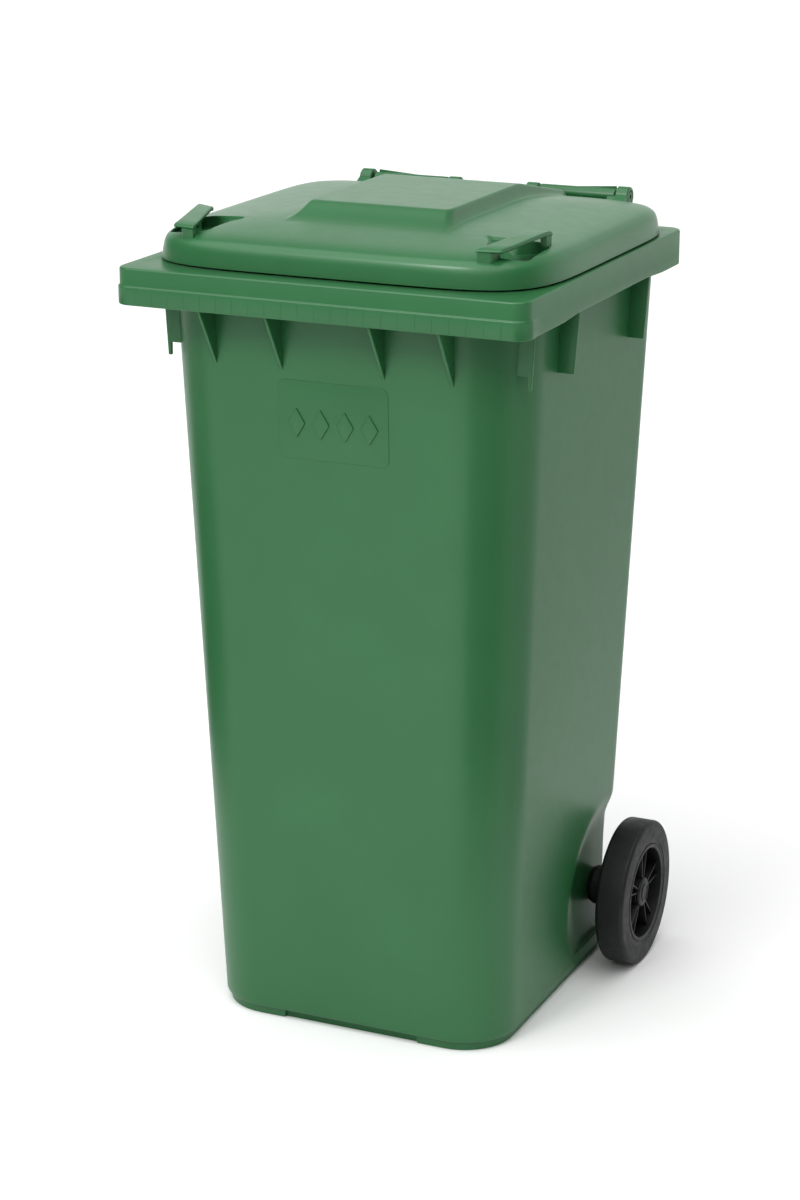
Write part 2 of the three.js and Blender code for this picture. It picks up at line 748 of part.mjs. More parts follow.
function wheelPieces(side) {
  const group = axleGroup(side, WHEEL_OUTER_X - WHEEL_WIDTH);
  group.add(
    named(`wheel_${side.name}`, toGeometry(wheelCentre()), BLACK_PLASTIC),
    named(`tyre_${side.name}`, tyre(), RUBBER),
    named(`hub_cap_${side.name}`, hubCap(), BLACK_PLASTIC),
    named(`washer_${side.name}`, washer(), STEEL),
    named(`retaining_ring_${side.name}`, retainingRing(), STEEL),
  );
  return group;
}

function axlePieces(side) {
  const group = axleGroup(side, 0);
  group.add(
    named(`axle_bush_${side.name}`, axleBush(), BLACK_PLASTIC),
    named(`spacer_${side.name}`, spacer(), BLACK_PLASTIC),
  );
  return group;
}

function hingePinMesh(side) {
  const mesh = named(`hinge_pin_${side.name}`, hingePin(side), PIN_GREEN);
  mesh.position.set(0, HINGE_Y, HINGE_Z);
  return mesh;
}

function axleMesh() {
  const mesh = named('axle', axle(), STEEL);
  mesh.position.set(0, AXLE_Y, AXLE_Z);
  return mesh;
}

function chipPlugMesh() {
  const mesh = named('chip_plug', chipPlug(), BLACK_PLASTIC);
  mesh.position.set(0, NEST_Y, NEST_CEILING - GAP - 8);
  return mesh;
}

const bin = new THREE.Group();
bin.position.y = -(REAR_MOST + FRONT_MOST) / 2;
bin.add(named('body', toGeometry(bodySolid()), GREEN));
bin.add(named('lid', toGeometry(lidSolid()), LID_GREEN));
bin.add(axleMesh(), chipPlugMesh());
for (const side of SIDES) {
  bin.add(hingePinMesh(side), wheelPieces(side), axlePieces(side));
}

export default bin;
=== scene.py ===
import math

import bmesh
import bpy
from mathutils import Matrix, Vector


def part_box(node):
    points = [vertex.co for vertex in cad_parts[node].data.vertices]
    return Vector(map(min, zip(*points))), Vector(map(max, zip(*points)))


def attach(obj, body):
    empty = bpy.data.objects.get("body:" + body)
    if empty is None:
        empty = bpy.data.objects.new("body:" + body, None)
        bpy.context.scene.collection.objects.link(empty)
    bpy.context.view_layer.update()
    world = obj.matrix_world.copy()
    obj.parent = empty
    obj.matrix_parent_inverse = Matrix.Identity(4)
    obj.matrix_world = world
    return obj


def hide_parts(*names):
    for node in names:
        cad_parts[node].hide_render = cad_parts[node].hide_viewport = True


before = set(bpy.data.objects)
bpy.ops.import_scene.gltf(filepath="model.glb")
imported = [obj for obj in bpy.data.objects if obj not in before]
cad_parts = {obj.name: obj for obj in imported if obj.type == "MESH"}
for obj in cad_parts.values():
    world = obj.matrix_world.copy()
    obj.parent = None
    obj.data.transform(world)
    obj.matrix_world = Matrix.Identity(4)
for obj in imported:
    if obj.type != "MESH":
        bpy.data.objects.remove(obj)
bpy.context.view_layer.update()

# Everything is in metres, in the row's frame: +Z up, the front at -Y, the wheels and hinge at +Y.
MM = 0.001
BODY, LID = "bin_body", "lid_body"
SIDES = (("left", -1), ("right", 1))

# ---- sizes, from the frame ----------------------------------------------------------------

axle_low, axle_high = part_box("axle")
AXLE_Y = (axle_low[1] + axle_high[1]) / 2
AXLE_Z = (axle_low[2] + axle_high[2]) / 2
body_low, body_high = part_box("body")
lid_low, lid_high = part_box("lid")
pin_low, pin_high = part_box("hinge_pin_right")
HINGE_Y = (pin_low[1] + pin_high[1]) / 2
HINGE_Z = (pin_low[2] + pin_high[2]) / 2

BAND_PROUD = 2 * MM
RIM_HALF = body_high[0] - BAND_PROUD
RIM_FRONT = body_low[1] + BAND_PROUD
RIM_DEPTH = 512 * MM
RIM_REAR = RIM_FRONT + RIM_DEPTH
RIM_TOP = lid_low[2] - 2 * MM
RIM_HEIGHT = 42 * MM
RIM_BOTTOM = RIM_TOP - RIM_HEIGHT
BAND_TOP = RIM_TOP - RIM_HEIGHT / 2
RIM_RADIUS = 18 * MM
BAND_WRAP = 30 * MM  # how far the band runs back round the front corners
BAND_FACE = BAND_PROUD - 0.2 * MM
WALL = 4 * MM
LINE_PITCH = 20 * MM
LINE_WIDTH = 1.0 * MM
LINE_COUNT = 11
MIDDLE_Y = (RIM_FRONT + RIM_REAR) / 2  # the tub and lid are drawn about this line


def at_y(distance):
    """A place along Y, counted in metres from the middle of the rim."""
    return MIDDLE_Y + distance


# ---- mesh helpers -------------------------------------------------------------------------


def new_object(name, vertices, faces):
    mesh = bpy.data.meshes.new(name)
    mesh.from_pydata([tuple(v) for v in vertices], [], faces)
    mesh.validate()
    bm = bmesh.new()
    bm.from_mesh(mesh)
    bmesh.ops.remove_doubles(bm, verts=bm.verts, dist=1e-6)
    bmesh.ops.recalc_face_normals(bm, faces=bm.faces)
    bm.to_mesh(mesh)
    bm.free()
    obj = bpy.data.objects.new(name, mesh)
    bpy.context.collection.objects.link(obj)
    return obj


def loft(name, rings, closed=False):
    """Skin over rings of equal length, closed into a loop or with both ends capped."""
    count = len(rings[0])
    vertices = [point for ring in rings for point in ring]
    faces = []
    steps = len(rings) if closed else len(rings) - 1
    for i in range(steps):
        low, high = i * count, ((i + 1) % len(rings)) * count
        for k in range(count):
            following = (k + 1) % count
            faces.append((low + k, low + following, high + following, high + k))
    if not closed:
        faces.append(tuple(reversed(range(count))))
        faces.append(tuple(range((len(rings) - 1) * count, len(rings) * count)))
    return new_object(name, vertices, faces)


def joined(name, pieces):
    """One object from several, each keeping its own closed skin."""
    whole = bmesh.new()
    for piece in pieces:
        whole.from_mesh(piece.data)
        bpy.data.objects.remove(piece)
    mesh = bpy.data.meshes.new(name)
    whole.to_mesh(mesh)
    whole.free()
    obj = bpy.data.objects.new(name, mesh)
    bpy.context.collection.objects.link(obj)
    return obj


def apply_modifiers(obj):
    graph = bpy.context.evaluated_depsgraph_get()
    graph.update()
    mesh = bpy.data.meshes.new_from_object(obj.evaluated_get(graph))
    obj.modifiers.clear()
    obj.data = mesh


def boolean(obj, cutter, operation="DIFFERENCE"):
    modifier = obj.modifiers.new("boolean", "BOOLEAN")
    modifier.operation = operation
    modifier.solver = "EXACT"
    modifier.object = cutter
    apply_modifiers(obj)
    bpy.data.objects.remove(cutter)


def soften(obj, width=1.0 * MM, segments=3, angle=32.0):
    """Rounds the sharp edges and shades the rest smooth."""
    if width > 0:
        bevel = obj.modifiers.new("bevel", "BEVEL")
        bevel.width = width
        bevel.segments = segments
        bevel.limit_method = "ANGLE"
        bevel.angle_limit = math.radians(angle)
        bevel.harden_normals = False
        bevel.use_clamp_overlap = True
        apply_modifiers(obj)
    obj.data.shade_smooth()
    obj.data.set_sharp_from_angle(angle=math.radians(angle))
    return obj


def finish_piece(obj, body, material, replaced):
    """Gives a piece its material and body, and hides the CAD nodes that it stands for."""
    obj.data.materials.clear()
    obj.data.materials.append(material)
    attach(obj, body)
    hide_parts(*replaced)


def rounded_ring(half, front, rear, front_radius, rear_radius, corner=14, side=10):
    """Points round a rounded rectangle, starting at the front right corner and going anticlockwise."""
    points = []
    quarter = math.pi / 2
    corners = (
        (half - front_radius, front + front_radius, front_radius, -quarter),
        (half - rear_radius, rear - rear_radius, rear_radius, 0.0),
        (-half + rear_radius, rear - rear_radius, rear_radius, quarter),
        (-half + front_radius, front + front_radius, front_radius, 2 * quarter),
    )
    for index, (cx, cy, radius, start) in enumerate(corners):
        for k in range(corner + 1):
            turn = start + quarter * k / corner
            points.append((cx + radius * math.cos(turn), cy + radius * math.sin(turn)))
        nx, ny, next_radius, next_start = corners[(index + 1) % 4]
        last = points[-1]
        target = (nx + next_radius * math.cos(next_start), ny + next_radius * math.sin(next_start))
        for k in range(1, side):
            points.append(tuple(a + (b - a) * k / side for a, b in zip(last, target)))
    return points


def prism(name, outline, axis, start, end, place=(0.0, 0.0, 0.0)):
    """A flat outline, drawn in the two other axes in order, stretched along axis from start to end."""
    order = {"x": (2, 0, 1), "y": (0, 2, 1), "z": (0, 1, 2)}[axis]
    rings = []
    for depth in (start, end):
        ring = []
        for a, b in outline:
            flat = (a, b, depth)
            ring.append(tuple(flat[order[i]] + place[i] for i in range(3)))
        rings.append(ring)
    return loft(name, rings)


def smoothstep(low, high, value):
    share = min(1.0, max(0.0, (value - low) / (high - low)))
    return share * share * (3 - 2 * share)


# ---- materials ----------------------------------------------------------------------------


def base_material(name, color, roughness, specular=0.5):
    material = bpy.data.materials.new(name)
    material.use_nodes = True
    tree = material.node_tree
    shader = tree.nodes["Principled BSDF"]
    shader.inputs["Base Color"].default_value = (*color, 1)
    shader.inputs["Roughness"].default_value = roughness
    shader.inputs["Specular IOR Level"].default_value = specular
    return material, tree, shader


def noise(tree, scale, detail=3.0, rough=0.5, stretch=None):
    coordinates = tree.nodes.new("ShaderNodeTexCoord")
    texture = tree.nodes.new("ShaderNodeTexNoise")
    texture.inputs["Scale"].default_value = scale
    texture.inputs["Detail"].default_value = detail
    texture.inputs["Roughness"].default_value = rough
    if stretch:
        mapping = tree.nodes.new("ShaderNodeMapping")
        mapping.inputs["Scale"].default_value = stretch
        tree.links.new(coordinates.outputs["Object"], mapping.inputs["Vector"])
        tree.links.new(mapping.outputs["Vector"], texture.inputs["Vector"])
    else:
        tree.links.new(coordinates.outputs["Object"], texture.inputs["Vector"])
    return texture.outputs["Fac"]


def ramp(tree, factor, low, high, low_value, high_value):
    node = tree.nodes.new("ShaderNodeMapRange")
    node.inputs["From Min"].default_value = low
    node.inputs["From Max"].default_value = high
    node.inputs["To Min"].default_value = low_value
    node.inputs["To Max"].default_value = high_value
    tree.links.new(factor, node.inputs["Value"])
    return node.outputs["Result"]


def mix_color(tree, factor, first, second):
    node = tree.nodes.new("ShaderNodeMix")
    node.data_type = "RGBA"
    for socket, value in ((node.inputs[6], first), (node.inputs[7], second)):
        if isinstance(value, tuple):
            socket.default_value = (*value, 1)
        else:
            tree.links.new(value, socket)
    tree.links.new(factor, node.inputs[0])
    return node.outputs[2]


def bump(tree, shader, height, strength, distance):
    node = tree.nodes.new("ShaderNodeBump")
    node.inputs["Strength"].default_value = strength
    node.inputs["Distance"].default_value = distance
    tree.links.new(height, node.inputs["Height"])
    tree.links.new(node.outputs["Normal"], shader.inputs["Normal"])


def moulded_green(name, color, roughness):
    """Satin polyethylene: fine grain, slight mottling, and paler rubbed patches."""
    material, tree, shader = base_material(name, color, roughness)
    dark = tuple(channel * 0.95 for channel in color)
    light = tuple(channel * 1.05 for channel in color)
    mottled = mix_color(tree, ramp(tree, noise(tree, 7, 4), 0.3, 0.7, 0, 1), dark, light)
    pale = tuple(channel * 0.9 + 0.03 for channel in color)
    rubbed = ramp(tree, noise(tree, 38, 5, 0.65), 0.62, 0.8, 0, 0.06)
    tree.links.new(mix_color(tree, rubbed, mottled, pale), shader.inputs["Base Color"])
    grain = noise(tree, 900, 2)
    tree.links.new(ramp(tree, noise(tree, 55, 4), 0.3, 0.7, roughness - 0.015, roughness + 0.02),
                   shader.inputs["Roughness"])
    bump(tree, shader, grain, 0.12, 0.0004)
    return material


def rubber(name, color):
    material, tree, shader = base_material(name, color, 0.5, 0.5)
    dusty = tuple(channel * 1.4 + 0.008 for channel in color)
    dust = ramp(tree, noise(tree, 26, 5, 0.6), 0.42, 0.75, 0, 0.5)
    tree.links.new(mix_color(tree, dust, color, dusty), shader.inputs["Base Color"])
    tree.links.new(ramp(tree, noise(tree, 90, 3), 0.3, 0.7, 0.45, 0.6), shader.inputs["Roughness"])
    bump(tree, shader, noise(tree, 700, 3), 0.2, 0.0005)
    return material


def black_plastic(name, color):
    material, tree, shader = base_material(name, color, 0.45)
    worn = tuple(channel * 1.8 + 0.008 for channel in color)
    wear = ramp(tree, noise(tree, 60, 4), 0.45, 0.8, 0, 0.5)
    tree.links.new(mix_color(tree, wear, color, worn), shader.inputs["Base Color"])
    tree.links.new(ramp(tree, noise(tree, 120, 3), 0.3, 0.7, 0.38, 0.55), shader.inputs["Roughness"])
    bump(tree, shader, noise(tree, 1100, 2), 0.1, 0.0003)
    return material


def plated_steel(name, color):
    material, tree, shader = base_material(name, color, 0.3)
    shader.inputs["Metallic"].default_value = 1.0
    dull = tuple(channel * 0.6 for channel in color)
    stain = ramp(tree, noise(tree, 80, 5, 0.6), 0.45, 0.75, 0, 0.6)
    tree.links.new(mix_color(tree, stain, color, dull), shader.inputs["Base Color"])
    tree.links.new(ramp(tree, noise(tree, 300, 3, 0.5, (1, 12, 12)), 0.3, 0.7, 0.24, 0.45),
                   shader.inputs["Roughness"])
    bump(tree, shader, noise(tree, 400, 3, 0.5, (0.2, 8, 8)), 0.08, 0.0002)
    return material


BODY_GREEN = moulded_green("body_green", (0.031, 0.140, 0.052), 0.34)
LID_GREEN = moulded_green("lid_green", (0.033, 0.146, 0.055), 0.30)
PIN_GREEN = moulded_green("pin_green", (0.026, 0.124, 0.045), 0.36)
TYRE_RUBBER = rubber("tyre_rubber", (0.009, 0.0098, 0.0102))
WHEEL_BLACK = black_plastic("wheel_black", (0.008, 0.0085, 0.009))
STEEL = plated_steel("zinc_steel", (0.42, 0.43, 0.44))

# ---- tub ----------------------------------------------------------------------------------

TUB_BASE = (189 * MM, -172 * MM, 220 * MM)
TUB_TOP = (223 * MM, -214 * MM, 250 * MM)
FRONT_RADIUS = 68 * MM
REAR_RADIUS = 36 * MM
PLINTH_HEIGHT = 12 * MM
PLINTH_INSET = 5 * MM
FLOOR_TOP = 17 * MM
TOE_HALF = 90 * MM
CHEEK_INNER = 170 * MM
CHEEK_OUTER = 178 * MM
ARCH_RADIUS = 118 * MM
ARCH_FADE = (-48 * MM, 8 * MM)  # where the hollow beside a wheel fades out, counted from the arch
BAY_FRONT = 134 * MM
BAY_TOP = 128 * MM
MOUTH = (214 * MM, -207 * MM, 228 * MM, 75 * MM)  # half width, front, rear, corner radius
CORNER_STEPS = 14
SIDE_STEPS = 40
WHEEL_LEVELS = 34
WHEEL_LEVEL_STEP = 6 * MM
UPPER_LEVELS = 14


def tub_size(z):
    """Half width, front and rear of the tapered tub at a height."""
    share = z / RIM_BOTTOM
    return tuple(base + (top - base) * share for base, top in zip(TUB_BASE, TUB_TOP))


def tub_ring(z, inset):
    half, front, rear = tub_size(z)
    growth = half / TUB_BASE[0]
    points = rounded_ring(
        half - inset, at_y(front + inset), at_y(rear - inset),
        FRONT_RADIUS * growth - inset, REAR_RADIUS * growth - inset, CORNER_STEPS, SIDE_STEPS,
    )
    return [(x, y, z) for x, y in points]


def hollow_for_wheel(point, face):
    """Draws a side wall's point in towards the cheek, in a soft arch round the wheel."""
    x, y, z = point
    if abs(x) <= face:
        return point
    distance = math.hypot(y - AXLE_Y, z - AXLE_Z)
    share = 1 - smoothstep(ARCH_RADIUS + ARCH_FADE[0], ARCH_RADIUS + ARCH_FADE[1], distance)
    return (math.copysign(abs(x) + (face - abs(x)) * share, x), y, z)


def wall_levels():
    """Heights of the wall's rings, close together beside the wheels and wider apart above them."""
    levels = [PLINTH_HEIGHT + 8 * MM + WHEEL_LEVEL_STEP * k for k in range(WHEEL_LEVELS)]
    last = levels[-1]
    rest = RIM_TOP - 3 * MM - last
    return levels + [last + rest * k / UPPER_LEVELS for k in range(1, UPPER_LEVELS + 1)]


def wall_ring(z, inset):
    return [hollow_for_wheel(point, CHEEK_OUTER - inset) for point in tub_ring(z, inset)]


def make_tub_shell():
    """The stepped plinth, the tapered wall and the inside down to the floor, as one skin."""
    plinth = [
        (0.0, PLINTH_INSET + 1 * MM), (1 * MM, PLINTH_INSET), (PLINTH_HEIGHT - 1 * MM, PLINTH_INSET),
        (PLINTH_HEIGHT, 0.8 * MM), (PLINTH_HEIGHT + 2 * MM, 0),
    ]
    foot = [(FLOOR_TOP + 6 * MM, WALL + 1 * MM), (FLOOR_TOP, WALL + 8 * MM)]
    levels = wall_levels()
    rings = [tub_ring(z, inset) for z, inset in plinth]
    rings += [wall_ring(z, 0) for z in levels]
    rings += [wall_ring(z, WALL) for z in reversed(levels)]
    rings += [tub_ring(z, inset) for z, inset in foot]
    return loft("bin_tub", rings)


def make_tub():
    tub = make_tub_shell()
    below = -10 * MM
    behind = at_y(320 * MM)
    bay = [(at_y(BAY_FRONT), below), (behind, below), (behind, BAY_TOP), (at_y(BAY_FRONT), BAY_TOP)]
    boolean(tub, prism("bay", bay, "x", -CHEEK_INNER, CHEEK_INNER))
    toe_front = at_y(TUB_BASE[1])
    toe_top, toe_top_half = PLINTH_HEIGHT - 1 * MM, TOE_HALF - 4 * MM
    toe = [(-TOE_HALF, below), (TOE_HALF, below), (toe_top_half, toe_top), (-toe_top_half, toe_top)]
    boolean(tub, prism("toe_recess", toe, "y", toe_front - 10 * MM, toe_front + PLINTH_INSET + 5 * MM))
    return tub


def rim_section():
    """Section of the rim as (line it follows, offset outwards, height, share of the band's thickness)."""
    bottom, step = RIM_BOTTOM, BAND_TOP
    crown = 2.6 * MM
    section = [("mouth", 0.0, RIM_TOP - WALL, 0), ("mouth", 0.6 * MM, RIM_TOP - 0.6 * MM, 0)]
    section += [("mouth", 1.6 * MM, RIM_TOP, 0)]
    for k in range(7):
        turn = math.pi / 2 * k / 6
        over, up = crown * math.sin(turn) - crown, crown * math.cos(turn) - crown
        section.append(("rim", over, RIM_TOP + up, 0))
    section += [("rim", 0.0, step + 1.4 * MM, 0), ("rim", 0.0, step + 0.8 * MM, 0.1)]
    section += [("rim", 0.0, step + 0.35 * MM, 0.5), ("rim", 0.0, step - 0.3 * MM, 0.85)]
    section += [("rim", 0.0, step - 1.4 * MM, 1), ("rim", 0.0, bottom + 1.4 * MM, 1)]
    section += [("rim", -0.5 * MM, bottom + 0.4 * MM, 1), ("rim", -1.4 * MM, bottom, 1)]
    section += [("rim", -WALL + 0.8 * MM, bottom, 0), ("rim", -WALL, bottom + 0.8 * MM, 0)]
    section += [("rim", -WALL, RIM_TOP - WALL - 4 * MM, 0), ("rim", -WALL - 4 * MM, RIM_TOP - WALL, 0)]
    return section


def rim_outline(line, offset):
    """The line that a point of the section follows: round the mouth, or round the rim's outer edge."""
    if line == "mouth":
        half, front, rear, radius = MOUTH
        front, rear = at_y(front - offset), at_y(rear + offset)
    else:
        half, radius = RIM_HALF, RIM_RADIUS + offset
        front, rear = RIM_FRONT - offset, RIM_REAR + offset
    return rounded_ring(half + offset, front, rear, radius, radius, 16, 30)


def make_rim():
    """Ledge, mouth edge and hanging skirt as one section swept round the rim."""
    band_end = RIM_FRONT + BAND_WRAP
    rings = []
    for line, offset, z, share in rim_section():
        ring = []
        for x, y in rim_outline(line, offset):
            grow = share * BAND_FACE * (1 - smoothstep(band_end - 14 * MM, band_end, y))
            normal = outline_normal(x, y)
            height = z
            if line != "mouth" and z < BAND_TOP:
                height += skirt_lift(x, y) * (BAND_TOP - z) / (BAND_TOP - RIM_BOTTOM)
            ring.append((x + normal[0] * grow, y + normal[1] * grow, height))
        rings.append(ring)
    return loft("bin_rim", rings, closed=True)


def make_band_lines():
    """Fine upright lines moulded on the front band at an even pitch."""
    low, high = RIM_BOTTOM + 1.6 * MM, BAND_TOP - 0.6 * MM
    back, face = RIM_FRONT - BAND_FACE + 0.5 * MM, RIM_FRONT - BAND_PROUD
    lines = []
    ridge = LINE_WIDTH / 4
    for k in range(-LINE_COUNT, LINE_COUNT + 1):
        x = k * LINE_PITCH
        outline = [(x - LINE_WIDTH, back), (x - ridge, face), (x + ridge, face), (x + LINE_WIDTH, back)]
        lines.append(prism("band_line", outline, "z", low, high))
    return joined("band_lines", lines)


def outline_normal(x, y):
    """Outward direction of the rim's outline at a point near it."""
    cx = max(0.0, abs(x) - (RIM_HALF - RIM_RADIUS))
    near, far = RIM_FRONT + RIM_RADIUS, RIM_REAR - RIM_RADIUS
    cy = min(0.0, y - near) + max(0.0, y - far)
    length = math.hypot(cx, cy) or 1.0
    return (math.copysign(cx, x) / length, cy / length)


def skirt_lift(x, y):
    """The side skirts are a little shallower between their corners."""
    if abs(x) < RIM_HALF - 6 * MM:
        return 0.0
    behind_front = smoothstep(at_y(-150 * MM), at_y(-90 * MM), y)
    before_rear = 1 - smoothstep(at_y(120 * MM), at_y(190 * MM), y)
    return 3 * MM * behind_front * before_rear


# ---- ribs, relief and handles of the body ---------------------------------------------------

RIB = 4 * MM
FRONT_RIBS_X = (-145 * MM, -62.5 * MM, 62.5 * MM, 145 * MM)
FRONT_RIB_TIP = 812 * MM
# Ribs beside the tub: place along Y, bottom, length of the foot's prong, reach at the top and at the foot.
SIDE_RIBS = (
    (-175 * MM, 825 * MM, 15 * MM, 228 * MM, 223.5 * MM),
    (-86 * MM, 812 * MM, 0.0, 245 * MM, 239.5 * MM),
    (144 * MM, 808 * MM, 0.0, 245 * MM, 239.5 * MM),
)


def make_front_ribs():
    """Gussets under the front rim, tapering down to a tip on the front wall."""
    ribs = []
    tip_y = at_y(tub_size(FRONT_RIB_TIP)[1]) + 1 * MM
    inside = RIM_TOP - WALL + 1 * MM
    skirt = RIM_FRONT + WALL - 1 * MM
    for index, x in enumerate(FRONT_RIBS_X):
        outline = [(skirt, inside), (skirt, RIM_BOTTOM + 1 * MM), (tip_y, FRONT_RIB_TIP), (tip_y, inside)]
        ribs.append(prism(f"front_rib_{index + 1}", outline, "x", x - RIB / 2, x + RIB / 2))
    return ribs


def wall_middle(y, z):
    """Half width of the tub to the middle of its wall, at a place along Y and a height."""
    half, front, _ = tub_size(z)
    radius = FRONT_RADIUS * half / TUB_BASE[0]
    beyond = max(0.0, front + radius - y)
    return half - radius + math.sqrt((radius - WALL / 2) ** 2 - beyond ** 2)


def make_side_ribs():
    """Ribs under the side rims. The front one of each side ends in a short prong."""
    ribs = []
    inside = RIM_TOP - WALL + 1 * MM
    for side_name, sign in SIDES:
        for index, (y, bottom, prong, top, foot) in enumerate(SIDE_RIBS):
            points = [
                (wall_middle(y, inside), inside), (top, inside), (top, RIM_BOTTOM), (foot, bottom - prong),
                (foot - RIB, bottom - prong), (foot - RIB, bottom), (wall_middle(y, bottom), bottom),
            ]
            if not prong:
                del points[4:6]
            outline = [(sign * x, z) for x, z in points]
            name = f"side_rib_{side_name}_{index + 1}"
            ribs.append(prism(name, outline, "y", at_y(y) - RIB / 2, at_y(y) + RIB / 2))
    return ribs


def turned(name, profile, place, segments=96, closed=False):
    """A solid of revolution about a line along X; the profile holds (x, radius) pairs."""
    rings = []
    for x, radius in profile:
        ring = []
        for k in range(segments):
            turn = 2 * math.pi * k / segments
            y, z = radius * math.cos(turn), radius * math.sin(turn)
            ring.append((place[0] + x, place[1] + y, place[2] + z))
        rings.append(ring)
    return loft(name, rings, closed)


HANDLE_RADIUS = 8.5 * MM
HANDLE_SPAN = (62 * MM, 160 * MM)
ARM = 9 * MM
PIN_BORE = 5 * MM
BORE_REACH = 200 * MM
BORE_CHAMFER = 0.1 * MM
BORE_PROFILE = (
    (-BORE_REACH, 0.0), (-BORE_REACH, PIN_BORE - BORE_CHAMFER), (-BORE_REACH + BORE_CHAMFER, PIN_BORE),
    (BORE_REACH - BORE_CHAMFER, PIN_BORE), (BORE_REACH, PIN_BORE - BORE_CHAMFER), (BORE_REACH, 0.0),
)


def span_x(sign, inner, outer):
    return (inner, outer) if sign > 0 else (-outer, -inner)


def arm_outline():
    """Side view of an arm, which stands on the rear of the rim and carries a handle tube."""
    front, rear = at_y(245 * MM), RIM_REAR - 1 * MM
    foot = RIM_TOP - 2 * MM
    return [
        (front, foot), (front, HINGE_Z - 6 * MM), (at_y(252 * MM), HINGE_Z + 4 * MM),
        (HINGE_Y + 8.5 * MM, HINGE_Z), (HINGE_Y + 6 * MM, HINGE_Z - 10 * MM),
        (rear, RIM_TOP + 10 * MM), (rear, foot),
    ]


def make_handle(side_name, sign):
    """A handle tube on two arms, with a thin fin on top."""
    inner, outer = HANDLE_SPAN
    x0, x1 = span_x(sign, inner, outer)
    profile = [(x0, PIN_BORE), (x0, HANDLE_RADIUS - 1 * MM), (x0 + 1 * MM, HANDLE_RADIUS)]
    profile += [(x1 - 1 * MM, HANDLE_RADIUS), (x1, HANDLE_RADIUS - 1 * MM), (x1, PIN_BORE)]
    pieces = [turned(f"handle_tube_{side_name}", profile, (0, HINGE_Y, HINGE_Z), 48, closed=True)]
    for number, start in enumerate((inner, outer - ARM)):
        a0, a1 = span_x(sign, start, start + ARM)
        arm = prism(f"handle_arm_{side_name}_{number + 1}", arm_outline(), "x", a0, a1)
        boolean(arm, turned("bore", BORE_PROFILE, (0, HINGE_Y, HINGE_Z), 32))
        pieces.append(arm)
    low_end, high_end = sign * (inner + 6 * MM), sign * (outer - 2 * MM)
    fin = [
        (low_end, HINGE_Z), (high_end, HINGE_Z), (high_end, HINGE_Z + 11 * MM), (low_end, HINGE_Z + 5 * MM),
    ]
    pieces.append(prism(f"handle_fin_{side_name}", fin, "y", HINGE_Y + 5 * MM, HINGE_Y + 7.5 * MM))
    return pieces


PAD = {"half": 68 * MM, "low": 713 * MM, "high": 804 * MM, "proud": 0.6 * MM, "radius": 9 * MM}
DIAMOND = {
    "count": 4, "width": 21 * MM, "height": 34 * MM, "pitch": 30 * MM,
    "proud": 2.2 * MM, "middle": 755 * MM,
}


def lean_to_front(obj):
    """Shifts a relief drawn about Y = 0 onto the sloping front wall."""
    for vertex in obj.data.vertices:
        vertex.co.y += at_y(tub_size(vertex.co.z)[1])
    return obj


def make_front_mark():
    """A faint pad with a row of plain diamonds."""
    half, low, high, radius = PAD["half"], PAD["low"], PAD["high"], PAD["radius"]
    flat = rounded_ring(half, low, high, radius, radius, 8, 2)
    pieces = [lean_to_front(prism("front_pad", flat, "y", -PAD["proud"], 1 * MM))]
    reach, rise, middle = DIAMOND["width"] / 2, DIAMOND["height"] / 2, DIAMOND["middle"]
    for index in range(DIAMOND["count"]):
        x = (index - (DIAMOND["count"] - 1) / 2) * DIAMOND["pitch"]
        outline = [(x - reach, middle), (x, middle - rise), (x + reach, middle), (x, middle + rise)]
        diamond = prism(f"diamond_{index + 1}", outline, "y", -DIAMOND["proud"], 1 * MM)
        pieces.append(lean_to_front(diamond))
    return pieces


def finish_body_piece(obj):
    finish_piece(obj, BODY, BODY_GREEN, ("body",))


def make_body():
    finish_body_piece(soften(make_tub(), 0.8 * MM, 2, 40))
    finish_body_piece(soften(make_rim(), 0, angle=50))
    pieces = make_front_ribs() + make_side_ribs()
    for side_name, sign in SIDES:
        pieces += make_handle(side_name, sign)
    for piece in pieces:
        finish_body_piece(soften(piece, 0.9 * MM))
    finish_body_piece(soften(make_band_lines(), 0, angle=30))
    for piece in make_front_mark():
        finish_body_piece(soften(piece, 0.6 * MM))


# ---- lid ----------------------------------------------------------------------------------

LID_HALF = lid_high[0]
LID_FRONT = -227 * MM
LID_REAR = 240 * MM
LID_WALL = 3.5 * MM
SQUARENESS_FRONT = 5.5
SQUARENESS_REAR = 8.5
LID_MIDDLE = (LID_FRONT + LID_REAR) / 2
LID_HALF_DEPTH = (LID_REAR - LID_FRONT) / 2
# Section of the dome: (share of the way from the middle to the edge, height above the rim in mm).
DOME = (
    (0.0, 50.0), (0.3, 49.0), (0.6, 44.0), (0.82, 38.0),
    (0.93, 33.0), (0.97, 28.0), (0.988, 20.0), (1.0, 2.0),
)


def lid_turns(count):
    """Angles whose points on the squared outline are evenly spaced."""
    fine = 6000
    points = [squared(1.0, 2 * math.pi * k / fine) for k in range(fine + 1)]
    lengths = [0.0]
    for a, b in zip(points, points[1:]):
        lengths.append(lengths[-1] + math.dist(a, b))
    turns = []
    index = 0
    for k in range(count):
        target = lengths[-1] * k / count
        while lengths[index + 1] < target:
            index += 1
        share = (target - lengths[index]) / (lengths[index + 1] - lengths[index])
        turns.append(2 * math.pi * (index + share) / fine)
    return turns


def squareness(towards_rear):
    return SQUARENESS_REAR if towards_rear > 0 else SQUARENESS_FRONT


